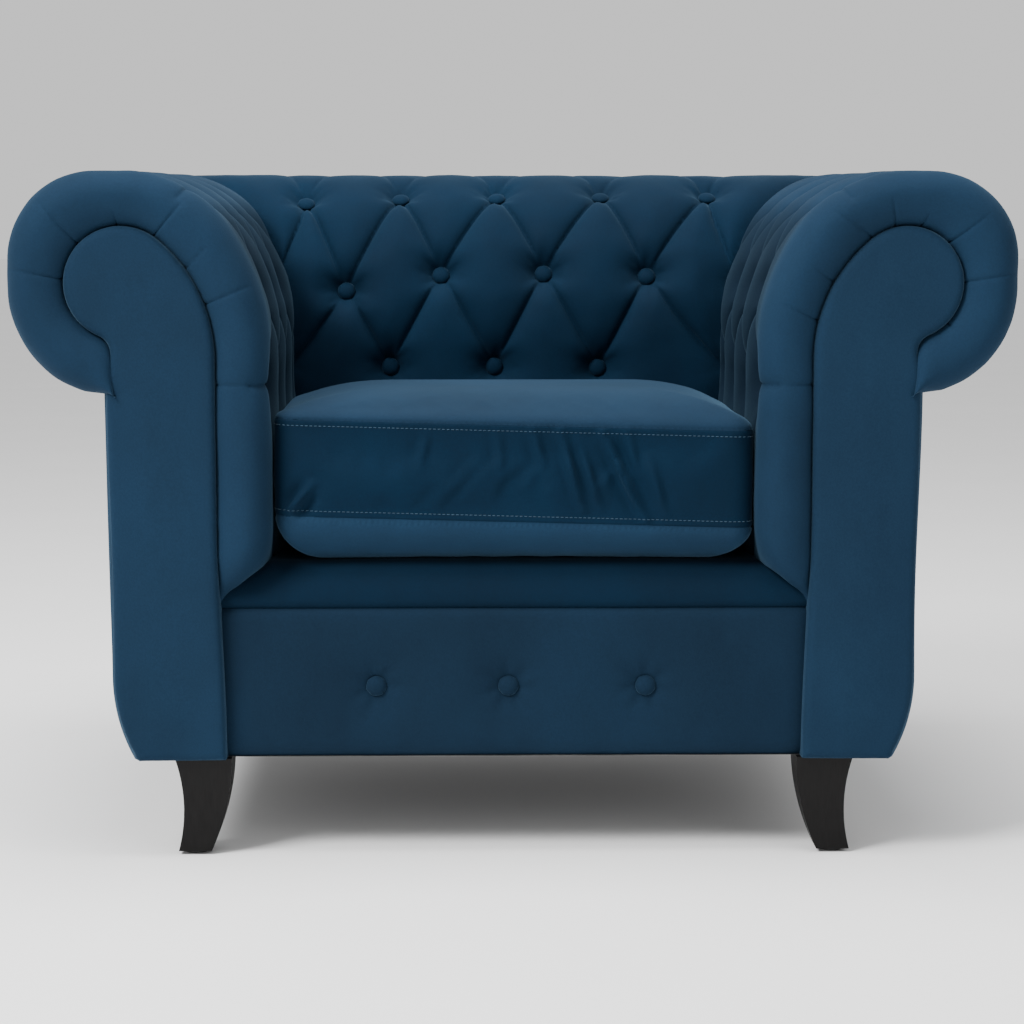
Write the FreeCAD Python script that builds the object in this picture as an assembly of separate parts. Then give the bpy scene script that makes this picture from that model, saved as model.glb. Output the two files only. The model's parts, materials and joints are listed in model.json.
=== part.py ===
"""Rolled-arm armchair with a buttoned back, as an assembly of its real pieces. Millimetres, +Z up.

The origin is on the floor under the middle of the chair. The front faces -Y and the arms run along Y.
Both arms and the back share one scroll section, drawn in a (u, z) plane. On an arm u is the distance
from the chair's middle plane; on the back u runs backwards along Y, shifted by MITRE_SHIFT, so that the
three rolls meet in 45 degree mitres at the rear corners. Each function below makes one family of pieces.
"""
import FreeCAD, Part

import math
import os

from FreeCAD import Vector

# Overall size
FRONT_Y = -425.0
REAR_Y = 425.0
LEG_HEIGHT = 114.0

# The scroll section's hard core: the outline of the plywood scrolls
CORE_INNER = 340.0
CORE_OUTER = 452.0
SHOULDER_Z = 575.0
SHOULDER_R = 170.0
SHOULDER_END = math.radians(128.6)
HEAD_R = 63.0
NECK_R = 28.0
BELLY_Z = 210.0
BELLY_R = 190.0

# The padded outline around the core
PAD_INNER = 276.0
PAD_OUTER = 572.6
PAD_SHOULDER_R = 260.0
PAD_SHOULDER_END = math.radians(145.0)
PAD_CREST_R = 143.0
PAD_CORNER_R = 100.0
PAD_UNDER_R = 122.6
PAD_UNDER_Z = 652.0
PAD_UNDER_END = math.radians(-72.0)
PAD_LIP_Z = 531.0
MITRE_SHIFT = PAD_OUTER - REAR_Y
MITRE_GAP = 0.15

# Thicknesses
PLY = 18.0
BOARD = 3.0
CLOTH = 2.0
SLIP = 0.2
OUTSIDE_COVER = 6.0
FACING_BOARD = 6.0
FACING_PAD = 8.0
RAIL = 25.0

# Stations along Y and heights
SCROLL_FRONT_Y = -404.0
FRAME_Y = SCROLL_FRONT_Y + PLY
REAR_SCROLL_Y = 150.0
MID_RIB_Y = -169.0
BACK_CORE_Y = CORE_INNER - MITRE_SHIFT
BACK_RIB_X = (-242.0, -52.0, 85.0, 226.0)
FRAME_Z = LEG_HEIGHT + CLOTH
PLATE_TOP = FRAME_Z + PLY
RAIL_TOP = 285.0
RAIL_X = CORE_INNER + BOARD
DECK_Z = 338.0
SEAM_Z = 287.0
APRON_FOAM = 10.0
APRON_Y = FRAME_Y - APRON_FOAM - CLOTH
LIP_Y = APRON_Y + 50.0

# Buttons: (arc position up the pad, depth of the seat below the pad's surface), then each button's
# station along the row and how far up the pad from its row it was set by hand
ROW_LOW = (191.5, 30.0)
ROW_MID = (314.5, 30.0)
ROW_TOP = (461.5, 20.0)
ROW_OVER = (660.0, 18.0)
BACK_ROWS = (
    (ROW_LOW, ((-156.0, 0.0), (-17.0, 0.0), (121.0, -2.0))),
    (ROW_MID, ((-214.0, -15.0), (-88.0, 9.0), (49.0, 11.0), (187.0, 7.0))),
    (ROW_TOP, ((-270.0, -14.0), (-143.0, -3.0), (-13.0, 0.0), (128.0, 3.0), (273.0, 3.0))),
    (ROW_OVER, tuple((x, 0.0) for x in (-466.0, -336.0, -206.0, -78.0, 58.0, 200.0, 336.0, 466.0))),
)
ARM_ROWS = (
    (ROW_LOW, ((-335.0, 14.0), (-195.0, 0.0), (-60.0, 0.0), (70.0, 0.0))),
    (ROW_MID, ((-265.0, 4.0), (-127.0, 0.0), (5.0, 0.0))),
    (ROW_TOP, ((-330.0, 0.0), (-195.0, 0.0), (-60.0, 0.0), (75.0, 0.0))),
    (ROW_OVER, tuple((y, 0.0) for y in (-262.0, -127.0, 8.0, 136.0, 268.0))),
)
APRON_BUTTONS_X = (-159.0, -7.0, 151.0)
APRON_BUTTON_Z = 195.5
APRON_DIMPLE = 6.0
BUTTON_R = 11.5
BUTTON_H = 6.5
SHANK_R = 2.0
SHANK_L = 5.0
TIE_R = 0.8
TIE_END = 88.0
SEAT_CUT_R = 14.0

# Legs and their fixings
LEG_X = 357.0
LEG_Y = (-365.0, 252.0)
LEG_AHEAD = 12.0
LEG_DEPTH_TOP = 60.0
LEG_DEPTH_FOOT = 42.0
GLIDE_R = 13.0
GLIDE_H = 4.0
GLIDE_PIN_R = 1.3
GLIDE_PIN_L = 15.0
BOLT_R = 4.0
BOLT_LOW = 84.0
NUT_R = 5.5
NUT_FLANGE_R = 11.0
NUT_FLANGE = 1.5

# Seat springs
SPRING_X = (-265.0, -159.0, -53.0, 53.0, 159.0, 265.0)
WIRE_R = 1.9
SPRING_HALF_W = 12.0
SPRING_BARS = 26
SPRING_Z = RAIL_TOP + 3.9
CLIP_HALF = (8.0, 6.0)
CLIP_TOP = SPRING_Z + 4.1
TIE_WIRE_R = 1.5
TIE_WIRE_Z = SPRING_Z + WIRE_R + TIE_WIRE_R + 0.3
TIE_WIRE_TOP = TIE_WIRE_Z + TIE_WIRE_R
FELT = 2.4
SPRING_Y0 = FRAME_Y + RAIL / 2
SPRING_Y1 = BACK_CORE_Y + BOARD + RAIL / 2

# Seat cushion
CUSHION_X = 272.0
CUSHION_FRONT_Y = -404.0
CUSHION_REAR_Y = 119.0
CUSHION_Z0 = DECK_Z + 0.5
CUSHION_Z1 = 528.0
CUSHION_EDGE_R = 34.0
ZIP_HALF = 215.0
ZIP_Z = 440.0


# ---------------------------------------------------------------- drawing helpers
def at(u, z):
    return Vector(u, 0.0, z)


def polar(centre, radius, angle):
    return (centre[0] + radius * math.cos(angle), centre[1] + radius * math.sin(angle))


def arc(centre, radius, start, end):
    """An arc edge in the section plane, from one angle to another."""
    points = [polar(centre, radius, a) for a in (start, (start + end) / 2, end)]
    return Part.Arc(*[at(*p) for p in points]).toShape()


def line(p, q):
    return Part.makeLine(at(*p), at(*q))


def face(edges):
    return Part.Face(Part.Wire(edges))


def slab(section, y0, y1):
    """A section extruded along Y."""
    solid = section.extrude(Vector(0, y1 - y0, 0))
    solid.translate(Vector(0, y0, 0))
    return solid


def box(x, y, z):
    """A box from three (low, high) pairs."""
    return Part.makeBox(x[1] - x[0], y[1] - y[0], z[1] - z[0], Vector(x[0], y[0], z[0]))


def rod(start, direction, length, radius):
    return Part.makeCylinder(radius, length, start, direction)


def mirrored(shape):
    return shape.mirror(Vector(0, 0, 0), Vector(1, 0, 0))


def to_back(shape):
    """Turns a piece drawn for the right arm into its place on the back."""
    turned = shape.copy()
    turned.rotate(Vector(0, 0, 0), Vector(0, 0, 1), 90)
    turned.translate(Vector(0, -MITRE_SHIFT, 0))
    return turned


def prism(points, z0, z1):
    wire = Part.makePolygon([Vector(x, y, z0) for x, y in (*points, points[0])])
    return Part.Face(wire).extrude(Vector(0, 0, z1 - z0))


def arm_side(gap=MITRE_GAP):
    """The space on the right arm's side of the mitre plane."""
    far = 900.0
    return prism(
        [(-100.0, -900.0), (far, -900.0), (far, far - MITRE_SHIFT - gap), (-100.0, -100.0 - MITRE_SHIFT - gap)],
        -10.0,
        far,
    )


def back_side(gap=MITRE_GAP):
    far = 900.0
    reach = far - MITRE_SHIFT + gap
    return prism([(0.0, gap - MITRE_SHIFT), (far, reach), (-far, reach)], -10.0, far)


# ---------------------------------------------------------------- the two sections
SHOULDER_C = (CORE_INNER + SHOULDER_R, SHOULDER_Z)
HEAD_C = polar(SHOULDER_C, SHOULDER_R - HEAD_R, SHOULDER_END)
NECK_C = (
    CORE_OUTER + NECK_R,
    HEAD_C[1] - math.sqrt((HEAD_R + NECK_R) ** 2 - (CORE_OUTER + NECK_R - HEAD_C[0]) ** 2),
)
HEAD_END = math.atan2(NECK_C[1] - HEAD_C[1], NECK_C[0] - HEAD_C[0])
BELLY_C = (CORE_OUTER - BELLY_R, BELLY_Z)

PAD_C1 = (PAD_INNER + PAD_SHOULDER_R, SHOULDER_Z)
PAD_C2 = polar(PAD_C1, PAD_SHOULDER_R - PAD_CREST_R, PAD_SHOULDER_END)
PAD_TOP = PAD_C2[1] + PAD_CREST_R
PAD_C3 = (PAD_OUTER - PAD_CORNER_R, PAD_TOP - PAD_CORNER_R)
PAD_C4 = (PAD_OUTER - PAD_UNDER_R, PAD_UNDER_Z)


def belly(out, z):
    """The outer edge's distance u at a height below BELLY_Z."""
    return BELLY_C[0] + math.sqrt((BELLY_R + out) ** 2 - (z - BELLY_Z) ** 2)


def belly_arc(out, z):
    angle = math.asin((z - BELLY_Z) / (BELLY_R + out))
    return arc(BELLY_C, BELLY_R + out, 0.0, angle)


def core_section(out=0.0, bottom=FRAME_Z):
    """The scroll's hard outline, grown by out."""
    inner, outer = CORE_INNER - out, CORE_OUTER + out
    return face(
        [
            line((inner, bottom), (inner, SHOULDER_Z)),
            arc(SHOULDER_C, SHOULDER_R + out, math.pi, SHOULDER_END),
            arc(HEAD_C, HEAD_R + out, SHOULDER_END, HEAD_END),
            arc(NECK_C, NECK_R - out, HEAD_END + math.pi, math.pi),
            line((outer, NECK_C[1]), (outer, BELLY_Z)),
            belly_arc(out, bottom),
            line((belly(out, bottom), bottom), (inner, bottom)),
        ]
    )


def pad_section(out=0.0, bottom=DECK_Z + 0.5):
    """The padding's outline, grown by out, closed through the core."""
    inner, outer = PAD_INNER - out, PAD_OUTER + out
    tail = polar(PAD_C4, PAD_UNDER_R + out, PAD_UNDER_END)
    inside = CORE_OUTER - 2 * BOARD
    return face(
        [
            line((inner, bottom), (inner, SHOULDER_Z)),
            arc(PAD_C1, PAD_SHOULDER_R + out, math.pi, PAD_SHOULDER_END),
            arc(PAD_C2, PAD_CREST_R + out, PAD_SHOULDER_END, math.pi / 2),
            line((PAD_C2[0], PAD_TOP + out), (PAD_C3[0], PAD_TOP + out)),
            arc(PAD_C3, PAD_CORNER_R + out, math.pi / 2, 0.0),
            line((outer, PAD_C3[1]), (outer, PAD_UNDER_Z)),
            arc(PAD_C4, PAD_UNDER_R + out, 0.0, PAD_UNDER_END),
            line(tail, (inside, PAD_LIP_Z - out)),
            line((inside, PAD_LIP_Z - out), (inside, bottom)),
            line((inside, bottom), (inner, bottom)),
        ]
    )


def pad_place(t):
    """The point on the padding's outline t millimetres up from the deck, and the outward direction there."""
    rise = SHOULDER_Z - DECK_Z - 0.5
    if t <= rise:
        return (PAD_INNER, DECK_Z + 0.5 + t), (-1.0, 0.0)
    t -= rise
    top_flat = PAD_C3[0] - PAD_C2[0]
    for centre, radius, start, end in (
        (PAD_C1, PAD_SHOULDER_R, math.pi, PAD_SHOULDER_END),
        (PAD_C2, PAD_CREST_R, PAD_SHOULDER_END, math.pi / 2),
        (PAD_C3, PAD_CORNER_R, math.pi / 2, 0.0),
    ):
        if centre is PAD_C3:
            t -= top_flat
        length = radius * (start - end)
        if t <= length:
            angle = start - t / radius
            return polar(centre, radius, angle), (math.cos(angle), math.sin(angle))
        t -= length
    raise ValueError("no button sits that far round the roll")


# ---------------------------------------------------------------- buttons
def button(seat, out):
    """A covered button whose back rests at seat and whose dome faces out."""
    axis = Vector(*out).normalize()
    dome_r = (BUTTON_R**2 + BUTTON_H**2) / (2 * BUTTON_H)
    ball = Part.makeSphere(dome_r, seat + axis * (BUTTON_H - dome_r))
    cap = ball.common(rod(seat, axis, BUTTON_H + 1, BUTTON_R))
    shank = rod(seat - axis * SHANK_L, axis, SHANK_L, SHANK_R)
    return cap.fuse(shank).removeSplitter()


def button_cut(seat, out, depth):
    """What a button takes out of the padding: its well, its shank's hole and its tie's hole."""
    axis = Vector(*out).normalize()
    well = rod(seat - axis * 0.1, axis, depth + 40, SEAT_CUT_R)
    hole = rod(seat - axis * (SHANK_L + 0.1), axis, SHANK_L + 1, SHANK_R + 0.3)
    bore = rod(seat - axis * (TIE_END - depth), axis, TIE_END - depth, TIE_R + 0.3)
    return Part.makeCompound([well, hole, bore])


def tie(seat, out, depth):
    """The twine that holds a button, from its shank to the inside of the frame."""
    axis = Vector(*out).normalize()
    length = TIE_END - depth - SHANK_L - 1
    return rod(seat - axis * (SHANK_L + length), axis, length, TIE_R)


def button_places(rows):
    """(seat, outward direction, depth) of each button, drawn for the right arm."""
    places = []
    for (t, depth), stations in rows:
        for y, rise in stations:
            (u, z), (du, dz) = pad_place(t + rise)
            places.append((Vector(u - du * depth, y, z - dz * depth), (du, 0.0, dz), depth))
    return places


def back_places():
    """The back's buttons: a station x on the back is y = -x on the right arm's drawing."""
    rows = [(row, [(-x, rise) for x, rise in places]) for row, places in BACK_ROWS]
    return button_places(rows)


def apron_places():
    y = APRON_Y + APRON_DIMPLE
    return [(Vector(x, y, APRON_BUTTON_Z), (0.0, -1.0, 0.0), APRON_DIMPLE) for x in APRON_BUTTONS_X]


# ---------------------------------------------------------------- wooden frame
BATTENS = (
    ((425.0, 461.0), (690.0, 712.0)),
    ((480.0, 496.0), (640.0, 678.0)),
    ((356.0, 376.0), (585.0, 612.0)),
    ((RAIL_X, RAIL_X + 20.0), (320.0, 350.0)),
    ((425.0, 449.0), (545.0, 570.0)),
    ((405.0, 430.0), (PLATE_TOP, PLATE_TOP + 30.0)),
)


def scroll_battens(y0, y1):
    return [box(u, (y0, y1), z) for u, z in BATTENS]


def corner_plates():
    """The plywood plates that the legs bolt to, each with its counterbored hole."""
    plates = []
    for side in (-1, 1):
        for leg_y, y0, y1 in ((LEG_Y[0], FRAME_Y, -290.0), (LEG_Y[1], 200.0, 278.0)):
            x = sorted((side * 300.0, side * 425.0))
            plate = box(x, (y0, y1), (FRAME_Z, PLATE_TOP))
            centre = Vector(side * LEG_X, leg_y, FRAME_Z)
            plate = plate.cut(rod(centre, Vector(0, 0, 1), PLY, NUT_R + 0.1))
            sink = centre + Vector(0, 0, PLY - NUT_FLANGE)
            plates.append(plate.cut(rod(sink, Vector(0, 0, 1), NUT_FLANGE, NUT_FLANGE_R + 0.2)))
    return plates


def screw_places():
    """(x of the head, y, z, direction along x) of the screws through the side rails."""
    rear_y = BACK_CORE_Y + BOARD + RAIL / 2
    return [
        (side * (RAIL_X + RAIL), y, z, -side)
        for side in (-1, 1)
        for y in (FRAME_Y + RAIL / 2, rear_y)
        for z in (172.0, 248.0)
    ]


def screw(place, grow=0.0):
    x, y, z, way = place
    direction = Vector(way, 0, 0)
    shank = rod(Vector(x, y, z), direction, 62.0 + grow, 2.5 + grow)
    head = Part.makeCone(4.6 + grow, 2.5 + grow, 4.0, Vector(x, y, z), direction)
    return shank.fuse(head)


def frame():
    plates = corner_plates()
    screws = [screw(p) for p in screw_places()]
    screw_cuts = Part.makeCompound([screw(p, 0.1) for p in screw_places()])
    front = box((-RAIL_X, RAIL_X), (FRAME_Y, FRAME_Y + RAIL), (FRAME_Z, RAIL_TOP))
    rear_y = BACK_CORE_Y + BOARD
    rear = box((-RAIL_X, RAIL_X), (rear_y, rear_y + RAIL), (FRAME_Z, RAIL_TOP))
    side = box((RAIL_X, RAIL_X + RAIL), (FRAME_Y, rear_y + RAIL), (PLATE_TOP, RAIL_TOP))
    stretcher = box((-20.0, 20.0), (FRAME_Y + RAIL, rear_y), (FRAME_Z, FRAME_Z + 45.0))
    post_x, post_y = (395.0, 434.0), (248.0, 287.0)
    post = box(post_x, post_y, (PLATE_TOP, SHOULDER_Z))

    arm_battens = scroll_battens(FRAME_Y, REAR_SCROLL_Y)
    back_run = post_x[0] - 1.0
    back_battens = [to_back(b) for b in scroll_battens(-back_run, back_run)]
    blank = core_section(-BOARD)
    front_scroll = slab(blank, SCROLL_FRONT_Y, FRAME_Y)
    mid_rib = slab(blank, MID_RIB_Y, MID_RIB_Y + PLY).cut(Part.makeCompound(arm_battens + [side]))
    rear_scroll = slab(blank, REAR_SCROLL_Y, REAR_SCROLL_Y + PLY).cut(side)
    notch = box((-RAIL_X, RAIL_X), (rear_y - 1.0, rear_y + RAIL), (RAIL_TOP - 1.0, CLIP_TOP + 1.0))
    rib_cuts = Part.makeCompound(back_battens + [rear, notch])
    back_ribs = [to_back(slab(blank, -x - PLY / 2, -x + PLY / 2)).cut(rib_cuts) for x in BACK_RIB_X]

    plate_cut = Part.makeCompound(plates)
    yield "front_rail", [front.cut(plate_cut).cut(screw_cuts)]
    yield "rear_rail", [rear.cut(plate_cut).cut(screw_cuts)]
    yield "side_rails", [side.cut(screw_cuts), mirrored(side).cut(screw_cuts)]
    yield "seat_stretcher", [stretcher]
    yield "corner_plates", plates
    yield "corner_posts", [post, mirrored(post)]
    for name, piece in (("arm_front_scroll", front_scroll), ("arm_rear_scroll", rear_scroll)):
        yield name + "_right", [piece]
        yield name + "_left", [mirrored(piece)]
    yield "arm_mid_ribs", [mid_rib, mirrored(mid_rib)]
    yield "arm_battens_right", arm_battens
    yield "arm_battens_left", [mirrored(b) for b in arm_battens]
    yield "back_ribs", back_ribs
    yield "back_battens", back_battens
    yield "frame_screws", screws


# ---------------------------------------------------------------- boards, webbing and padding
def band(y0, y1, inner_low, outer_low):
    """The thin board bent over the scrolls, down to one height inside and another outside."""
    ring = core_section(0.0, 200.0).cut(core_section(-BOARD, 199.0))
    sheet = slab(ring, y0, y1)
    inner_cut = box((300.0, 400.0), (y0 - 1, y1 + 1), (190.0, inner_low))
    outer_cut = box((400.0, 500.0), (y0 - 1, y1 + 1), (190.0, outer_low))
    return sheet.cut(inner_cut).cut(outer_cut)


def deck_block(out):
    """The deck with its rounded front edge, grown by out, as wide as the cores are apart."""
    lip = lip_section(out).extrude(Vector(2 * RAIL_X, 0, 0))
    lip.translate(Vector(-RAIL_X, 0, 0))
    flat = box((-RAIL_X, RAIL_X), (LIP_Y, BACK_CORE_Y), (SEAM_Z, DECK_Z + out))
    return lip.fuse(flat)


def padding(y0, y1, cloth_front):
    """(foam, cover) of one run of the roll. With cloth_front the cover also closes the front, down to the lip."""
    core = slab(core_section(SLIP, 200.0), y0 - 5, y1 + 5)
    inset = CLOTH + SLIP
    whole = slab(pad_section(), y0, y1)
    room = slab(pad_section(-CLOTH, DECK_Z), y0 + (CLOTH if cloth_front else -1.0), y1 + 1)
    foam = slab(pad_section(-inset), y0 + (inset if cloth_front else 0.0), y1)
    if cloth_front:
        toe_z = SEAM_Z + 1.0
        whole = whole.fuse(slab(pad_section(0.0, toe_z), y0, LIP_Y).cut(deck_block(SLIP)))
        room = room.fuse(slab(pad_section(-CLOTH, toe_z - 1.0), y0 + CLOTH, LIP_Y + 1.0))
        foam = foam.fuse(slab(pad_section(-inset, toe_z), y0 + inset, LIP_Y).cut(deck_block(SLIP)))
    return foam.cut(core).removeSplitter(), whole.cut(room).cut(core).removeSplitter()


def upholstery():
    arm_cuts = [button_cut(*p) for p in button_places(ARM_ROWS)]
    back_cuts = [button_cut(*p) for p in back_places()]
    arm_keep, back_keep = arm_side(), back_side()
    reach = PAD_OUTER + 10.0

    foam, cover = padding(FRONT_Y, REAR_Y, True)
    skin = band(SCROLL_FRONT_Y, REAR_Y, 300.0, 545.0)
    arm_cut = Part.makeCompound(arm_cuts)
    for name, piece in (("arm_foam", foam), ("arm_cover", cover), ("arm_board", skin)):
        piece = piece.common(arm_keep).cut(arm_cut)
        yield name + "_right", [piece]
        yield name + "_left", [mirrored(piece)]

    foam, cover = padding(-reach, reach, False)
    skin = band(-reach, reach, SHOULDER_Z, 545.0)
    back_cut = to_back(Part.makeCompound(back_cuts))
    for name, piece in (("back_foam", foam), ("back_cover", cover), ("back_board", skin)):
        yield name, [to_back(piece).common(back_keep).cut(back_cut)]

    arm_buttons = [button(seat, out) for seat, out, _ in button_places(ARM_ROWS)]
    arm_ties = [tie(*p) for p in button_places(ARM_ROWS)]
    back_ties = [to_back(tie(*p)) for p in back_places()]
    yield "arm_buttons_right", arm_buttons
    yield "arm_buttons_left", [mirrored(b) for b in arm_buttons]
    yield "back_buttons", [to_back(button(seat, out)) for seat, out, _ in back_places()]
    yield "button_ties", arm_ties + [mirrored(t) for t in arm_ties] + back_ties


def webbing():
    """Upright and level straps behind the lower back padding, clear of the button ties."""
    y0 = BACK_CORE_Y + SLIP
    middle = y0 + (BOARD - SLIP) / 2
    upright = [box((x - 22, x + 22), (middle, BACK_CORE_Y + BOARD), (322.0, 572.0)) for x in BACK_RIB_X]
    level = [box((-330.0, 330.0), (y0, middle), (z - 22, z + 22)) for z in (370.0, 455.0)]
    yield "back_webbing", upright + level


def facings():
    """The padded boards that close the arm fronts."""
    board = slab(core_section(-SLIP, LEG_HEIGHT), SCROLL_FRONT_Y - FACING_BOARD, SCROLL_FRONT_Y)
    front = SCROLL_FRONT_Y - FACING_BOARD
    pad = slab(core_section(-SLIP, LEG_HEIGHT), front - FACING_PAD, front)
    for name, piece in (("facing_board", board), ("facing_cover", pad)):
        yield name + "_right", [piece]
        yield name + "_left", [mirrored(piece)]


def outside_section(top):
    """The outside cover's section: flat above, curving in below."""
    out = OUTSIDE_COVER
    return face(
        [
            line((CORE_OUTER + SLIP, top), (CORE_OUTER + out, top)),
            line((CORE_OUTER + out, top), (CORE_OUTER + out, BELLY_Z)),
            belly_arc(out, LEG_HEIGHT),
            line((belly(out, LEG_HEIGHT), LEG_HEIGHT), (belly(SLIP, LEG_HEIGHT), LEG_HEIGHT)),
            arc(BELLY_C, BELLY_R + SLIP, math.asin((LEG_HEIGHT - BELLY_Z) / (BELLY_R + SLIP)), 0.0),
            line((CORE_OUTER + SLIP, BELLY_Z), (CORE_OUTER + SLIP, top)),
        ]
    )


def outside_covers():
    section = outside_section(PAD_LIP_Z - 1.0)
    side = slab(section, SCROLL_FRONT_Y - FACING_BOARD, REAR_Y).common(arm_side())
    back = to_back(slab(section, -PAD_OUTER, PAD_OUTER)).common(back_side())
    yield "outside_arm_cover_right", [side]
    yield "outside_arm_cover_left", [mirrored(side)]
    yield "outside_back_cover", [back]


def apron():
    """The buttoned front border: foam and cover on the front rail."""
    half = CORE_INNER - 1.0
    y1 = FRAME_Y
    y0 = y1 - APRON_FOAM
    foam = box((-half, half), (y0 + SLIP, y1), (LEG_HEIGHT + CLOTH, SEAM_Z - 1.0))
    cover = box((-half, half), (y0 - CLOTH, y0), (LEG_HEIGHT, SEAM_Z))
    cuts = Part.makeCompound([rod(seat, Vector(0, -1, 0), 30, SEAT_CUT_R) for seat, _, _ in apron_places()])
    shanks = [rod(seat, Vector(0, 1, 0), SHANK_L + 1, SHANK_R + 0.3) for seat, _, _ in apron_places()]
    shank_cuts = Part.makeCompound(shanks)
    yield "apron_foam", [foam.cut(cuts).cut(shank_cuts)]
    yield "apron_cover", [cover.cut(cuts)]
    yield "apron_buttons", [button(seat, out) for seat, out, _ in apron_places()]


# ---------------------------------------------------------------- seat deck
def lip_section(out):
    """The rounded front edge of the deck, in the (y, z) plane, as a wire turned to stand along X."""
    y0, low_z = APRON_Y - out, SEAM_Z + 0.5
    depth, height = LIP_Y - y0, DECK_Z + out - low_z
    radius = (depth**2 + height**2) / (2 * height)
    turn = math.asin(depth / radius) / 2
    knee = Vector(0, LIP_Y - radius * math.sin(turn), DECK_Z + out - radius + radius * math.cos(turn))
    start, end = Vector(0, y0, low_z), Vector(0, LIP_Y, DECK_Z + out)
    low = Vector(0, LIP_Y, low_z)
    curve = Part.Arc(start, knee, end).toShape()
    return Part.Face(Part.Wire([curve, Part.makeLine(end, low), Part.makeLine(low, start)]))


def deck():
    half = CORE_INNER - 1.0
    rear_y = BACK_CORE_Y - 1.0
    width = Vector(2 * half, 0, 0)
    outer_lip, inner_lip = (lip_section(o).extrude(width) for o in (0.0, -CLOTH))
    for lip in (outer_lip, inner_lip):
        lip.translate(Vector(-half, 0, 0))
    cloth_lip = outer_lip.cut(inner_lip)
    cloth_top = box((-half, half), (LIP_Y, rear_y), (DECK_Z - CLOTH, DECK_Z))
    foam_lip = lip_section(-CLOTH - SLIP).extrude(width)
    foam_lip.translate(Vector(-half, 0, 0))
    foam_lip = foam_lip.cut(box((-half, half), (FRAME_Y, LIP_Y + 1.0), (SEAM_Z, CLIP_TOP + 1.0)))
    felt = (TIE_WIRE_TOP + SLIP, TIE_WIRE_TOP + SLIP + FELT)
    yield "deck_insulator", [box((-half, half), (LIP_Y + 0.5, rear_y), felt)]
    yield "deck_foam", [box((-half, half), (LIP_Y + 0.5, rear_y), (felt[1] + SLIP, DECK_Z - CLOTH - SLIP))]
    yield "lip_foam", [foam_lip]
    yield "deck_cover", [cloth_lip.fuse(cloth_top).removeSplitter()]


def spring_path():
    """One sinuous spring's centre line, as bars across joined by half circles."""
    pitch = (SPRING_Y1 - SPRING_Y0) / (SPRING_BARS - 1)
    edges = []
    for i in range(SPRING_BARS):
        y = SPRING_Y0 + i * pitch
        way = 1 if i % 2 == 0 else -1
        first = i == 0
        last = i == SPRING_BARS - 1
        start = Vector(-way * (SPRING_HALF_W + (8 if first else 0)), y, SPRING_Z)
        end = Vector(way * (SPRING_HALF_W + (8 if last else 0)), y, SPRING_Z)
        edges.append(Part.makeLine(start, end))
        if not last:
            bulge = Vector(way * (SPRING_HALF_W + pitch / 2), y + pitch / 2, SPRING_Z)
            edges.append(Part.Arc(end, bulge, end + Vector(0, pitch, 0)).toShape())
    return Part.Wire(edges), edges[0].Vertexes[0].Point


def springs():
    path, start = spring_path()
    ring = Part.Wire(Part.makeCircle(WIRE_R, start, Vector(1, 0, 0)))
    spring = path.makePipeShell([ring], True, False)
    long, short = CLIP_HALF
    clip = box((-long, long), (-short, short), (RAIL_TOP - SPRING_Z, CLIP_TOP - SPRING_Z))
    clip = clip.cut(rod(Vector(-long - 1, 0, 0), Vector(1, 0, 0), 2 * long + 2, WIRE_R + 0.3))
    all_springs, clips = [], []
    for x in SPRING_X:
        moved = spring.copy()
        moved.translate(Vector(x, 0, 0))
        all_springs.append(moved)
        for y in (SPRING_Y0, SPRING_Y1):
            held = clip.copy()
            held.translate(Vector(x, y, SPRING_Z))
            clips.append(held)
    wire_ys = (-200.0, -80.0, 40.0)
    wires = [rod(Vector(-300, y, TIE_WIRE_Z), Vector(1, 0, 0), 600, TIE_WIRE_R) for y in wire_ys]
    yield "seat_springs", all_springs
    yield "spring_clips", clips
    yield "spring_tie_wires", wires


# ---------------------------------------------------------------- legs
def leg(shift):
    """A sabre leg for the right side, curved outwards. Its bolt is at Y = 0 and its middle at Y = shift."""
    top_in, top_out = LEG_X - 32.0, LEG_X + 33.0
    foot_in, foot_out = LEG_X - 7.0, LEG_X + 31.0
    waist_out, belly_in = LEG_X + 24.0, LEG_X - 24.0
    low = GLIDE_H
    outer = Part.Arc(at(top_out, LEG_HEIGHT), at(waist_out, 52.0), at(foot_out, low)).toShape()
    inner = Part.Arc(at(foot_in, low), at(belly_in, 52.0), at(top_in, LEG_HEIGHT)).toShape()
    side = face(
        [
            outer,
            line((foot_out, low), (foot_in, low)),
            inner,
            line((top_in, LEG_HEIGHT), (top_out, LEG_HEIGHT)),
        ]
    )
    block = slab(side, -LEG_DEPTH_TOP / 2, LEG_DEPTH_TOP / 2)
    half_top, half_foot = LEG_DEPTH_TOP / 2, LEG_DEPTH_FOOT / 2
    taper = Part.makePolygon(
        [
            Vector(200, -half_top, LEG_HEIGHT),
            Vector(200, half_top, LEG_HEIGHT),
            Vector(200, half_foot, 0),
            Vector(200, -half_foot, 0),
            Vector(200, -half_top, LEG_HEIGHT),
        ]
    )
    block = block.common(Part.Face(taper).extrude(Vector(300, 0, 0)))
    block.translate(Vector(0, shift, 0))
    bolt_hole = rod(Vector(LEG_X, 0, BOLT_LOW - 1), Vector(0, 0, 1), 60, BOLT_R + 0.1)
    pin_hole = rod(Vector(glide_x(), shift, 0), Vector(0, 0, 1), GLIDE_H + GLIDE_PIN_L + 1, GLIDE_PIN_R + 0.1)
    return block.cut(bolt_hole).cut(pin_hole)


def glide_x():
    return LEG_X + 12.0


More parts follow.
